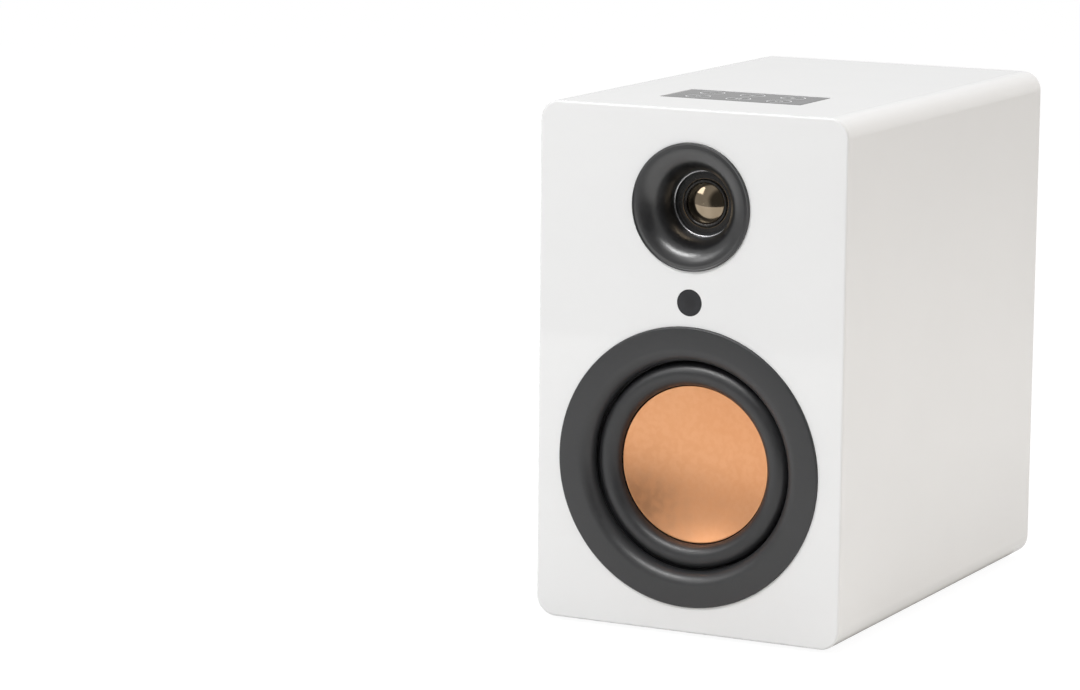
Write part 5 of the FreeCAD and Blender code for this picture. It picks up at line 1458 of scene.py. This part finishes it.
@dataclass
class Studio:
    """The floor, the surroundings, the soft lights and the camera.

    The floor and the surroundings look white to the eye and light the speaker with less. The dim way is the
    direction of the studio's dark side, and dim spread the cosines to it where it starts and is full.
    """

    floor_half: float = 6.0
    floor_front: float = -0.9
    floor_colour: Colour = (0.82, 0.82, 0.815)
    floor_glow: float = 1.1
    glow_share: float = 0.85
    ambient: float = 0.45
    backdrop: float = 0.32
    backdrop_spread: tuple[float, float] = (0.2, 0.8)
    dim: float = 0.075
    dim_spread: tuple[float, float] = (0.75, 0.9)
    dim_way: Point = (0.42, -0.907, 0.0)
    seen_white: float = 1.05
    eye: Point = (0.8666, -1.9581, 0.4910)
    right: Point = (0.88718, 0.46134, 0.00913)
    up: Point = (-0.08561, 0.14513, 0.9857)
    lens: float = 140.18
    lamps: list[Lamp] = field(default_factory=lambda: [
        Lamp("key", (-0.3, -1.1, 1.35), (0.0, -0.1, 0.15), 1.1, 0.22, 13.5),
        Lamp("front_left", (-1.0, -1.3, 0.9), (0.0, -0.1, 0.2), 0.6, 0.5, 3.0),
        Lamp("side_left", (-1.8, -0.4, 0.7), (0.0, 0.0, 0.12), 1.4, 1.2, 2.4, (0.97, 0.985, 1.0),
             mirrored=False),
        Lamp("side_right", (1.9, 0.1, 0.6), (0.0, 0.0, 0.12), 0.8, 1.2, 6.0, (1.0, 0.84, 0.67),
             mirrored=False),
        Lamp("overhead_back", (0.2, 0.8, 1.8), (0.0, 0.0, 0.2), 1.2, 1.2, 12.0, mirrored=False),
    ])

    def floor(self) -> None:
        """A plain pale floor under everything."""
        half = self.floor_half
        mesh = bpy.data.meshes.new("studio_floor")
        corners = [(-half, self.floor_front, 0), (half, self.floor_front, 0), (half, half, 0), (-half, half, 0)]
        mesh.from_pydata(corners, [], [(0, 1, 2, 3)])
        material = bpy.data.materials.new("studio_floor")
        material.use_nodes = True
        wiring = Wiring(material.node_tree)
        matt = wiring.node("BsdfDiffuse", {"Color": self.floor_colour, "Roughness": 0.0})
        bright = wiring.node("Emission", {"Color": WHITE, "Strength": self.floor_glow})
        seen = wiring.node("LightPath").outputs["Is Camera Ray"]
        share = wiring.math("MULTIPLY", seen, self.glow_share)
        mixed = wiring.node("MixShader", {0: share, 1: matt.outputs[0], 2: bright.outputs[0]})
        wiring.node("OutputMaterial", {"Surface": mixed.outputs[0]})
        mesh.materials.append(material)
        plane = bpy.data.objects.new("studio_floor", mesh)
        bpy.context.scene.collection.objects.link(plane)

    def surroundings(self) -> None:
        """A white backdrop, which lights the speaker softly: more from behind, less from one dim side."""
        world = bpy.data.worlds.new("studio")
        world.use_nodes = True
        wiring = Wiring(world.node_tree)
        seen = wiring.node("LightPath").outputs["Is Camera Ray"]
        way = wiring.node("TexCoord").outputs["Generated"]
        facing = wiring.vector("DOT_PRODUCT", way, self.dim_way)
        soft = wiring.spread(facing, *self.dim_spread, self.ambient, self.dim)
        behind = wiring.spread(wiring.apart(way)["Y"], *self.backdrop_spread, 0.0, self.backdrop)
        soft = wiring.math("ADD", soft, behind)
        strength = wiring.node("Mix", {0: seen, 2: soft, 3: self.seen_white}, data_type="FLOAT").outputs[0]
        light = wiring.node("Background", {"Color": WHITE, "Strength": strength})
        wiring.node("OutputWorld", {"Surface": light.outputs[0]})
        bpy.context.scene.world = world

    def camera(self) -> None:
        """The camera, set up from its place and its right and up directions."""
        lens = bpy.data.cameras.new("camera")
        lens.lens, lens.sensor_width, lens.sensor_fit = self.lens, 36.0, "HORIZONTAL"
        lens.clip_start, lens.clip_end = 0.05, 50.0
        camera = bpy.data.objects.new("camera", lens)
        x, y = Vector(self.right).normalized(), Vector(self.up).normalized()
        z = x.cross(y).normalized()
        y = z.cross(x)
        camera.matrix_world = Matrix.Translation(self.eye) @ Matrix((x, y, z)).transposed().to_4x4()
        bpy.context.scene.collection.objects.link(camera)
        bpy.context.scene.camera = camera

    def build(self) -> None:
        """Sets up the whole studio."""
        self.floor()
        self.surroundings()
        self.camera()
        for lamp in self.lamps:
            lamp.build()
        bpy.context.scene.view_settings.view_transform = "Standard"


def main() -> None:
    """Dresses the frame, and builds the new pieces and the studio."""
    logging.basicConfig(level=logging.INFO, format="%(name)s: %(message)s")
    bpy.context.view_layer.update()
    Effects().build()
    for plain in list(bpy.data.materials):
        bpy.data.materials.remove(plain)
    for finish in FINISHES:
        finish.build()
    dress_frame()
    for part in (Woofer(), Tweeter(), TouchPanel(), RearPanel(), Wadding()):
        log.info("building %s", type(part).__name__)
        part.build()
    Studio().build()
    bpy.context.view_layer.update()


if __name__ == "__main__":
    main()
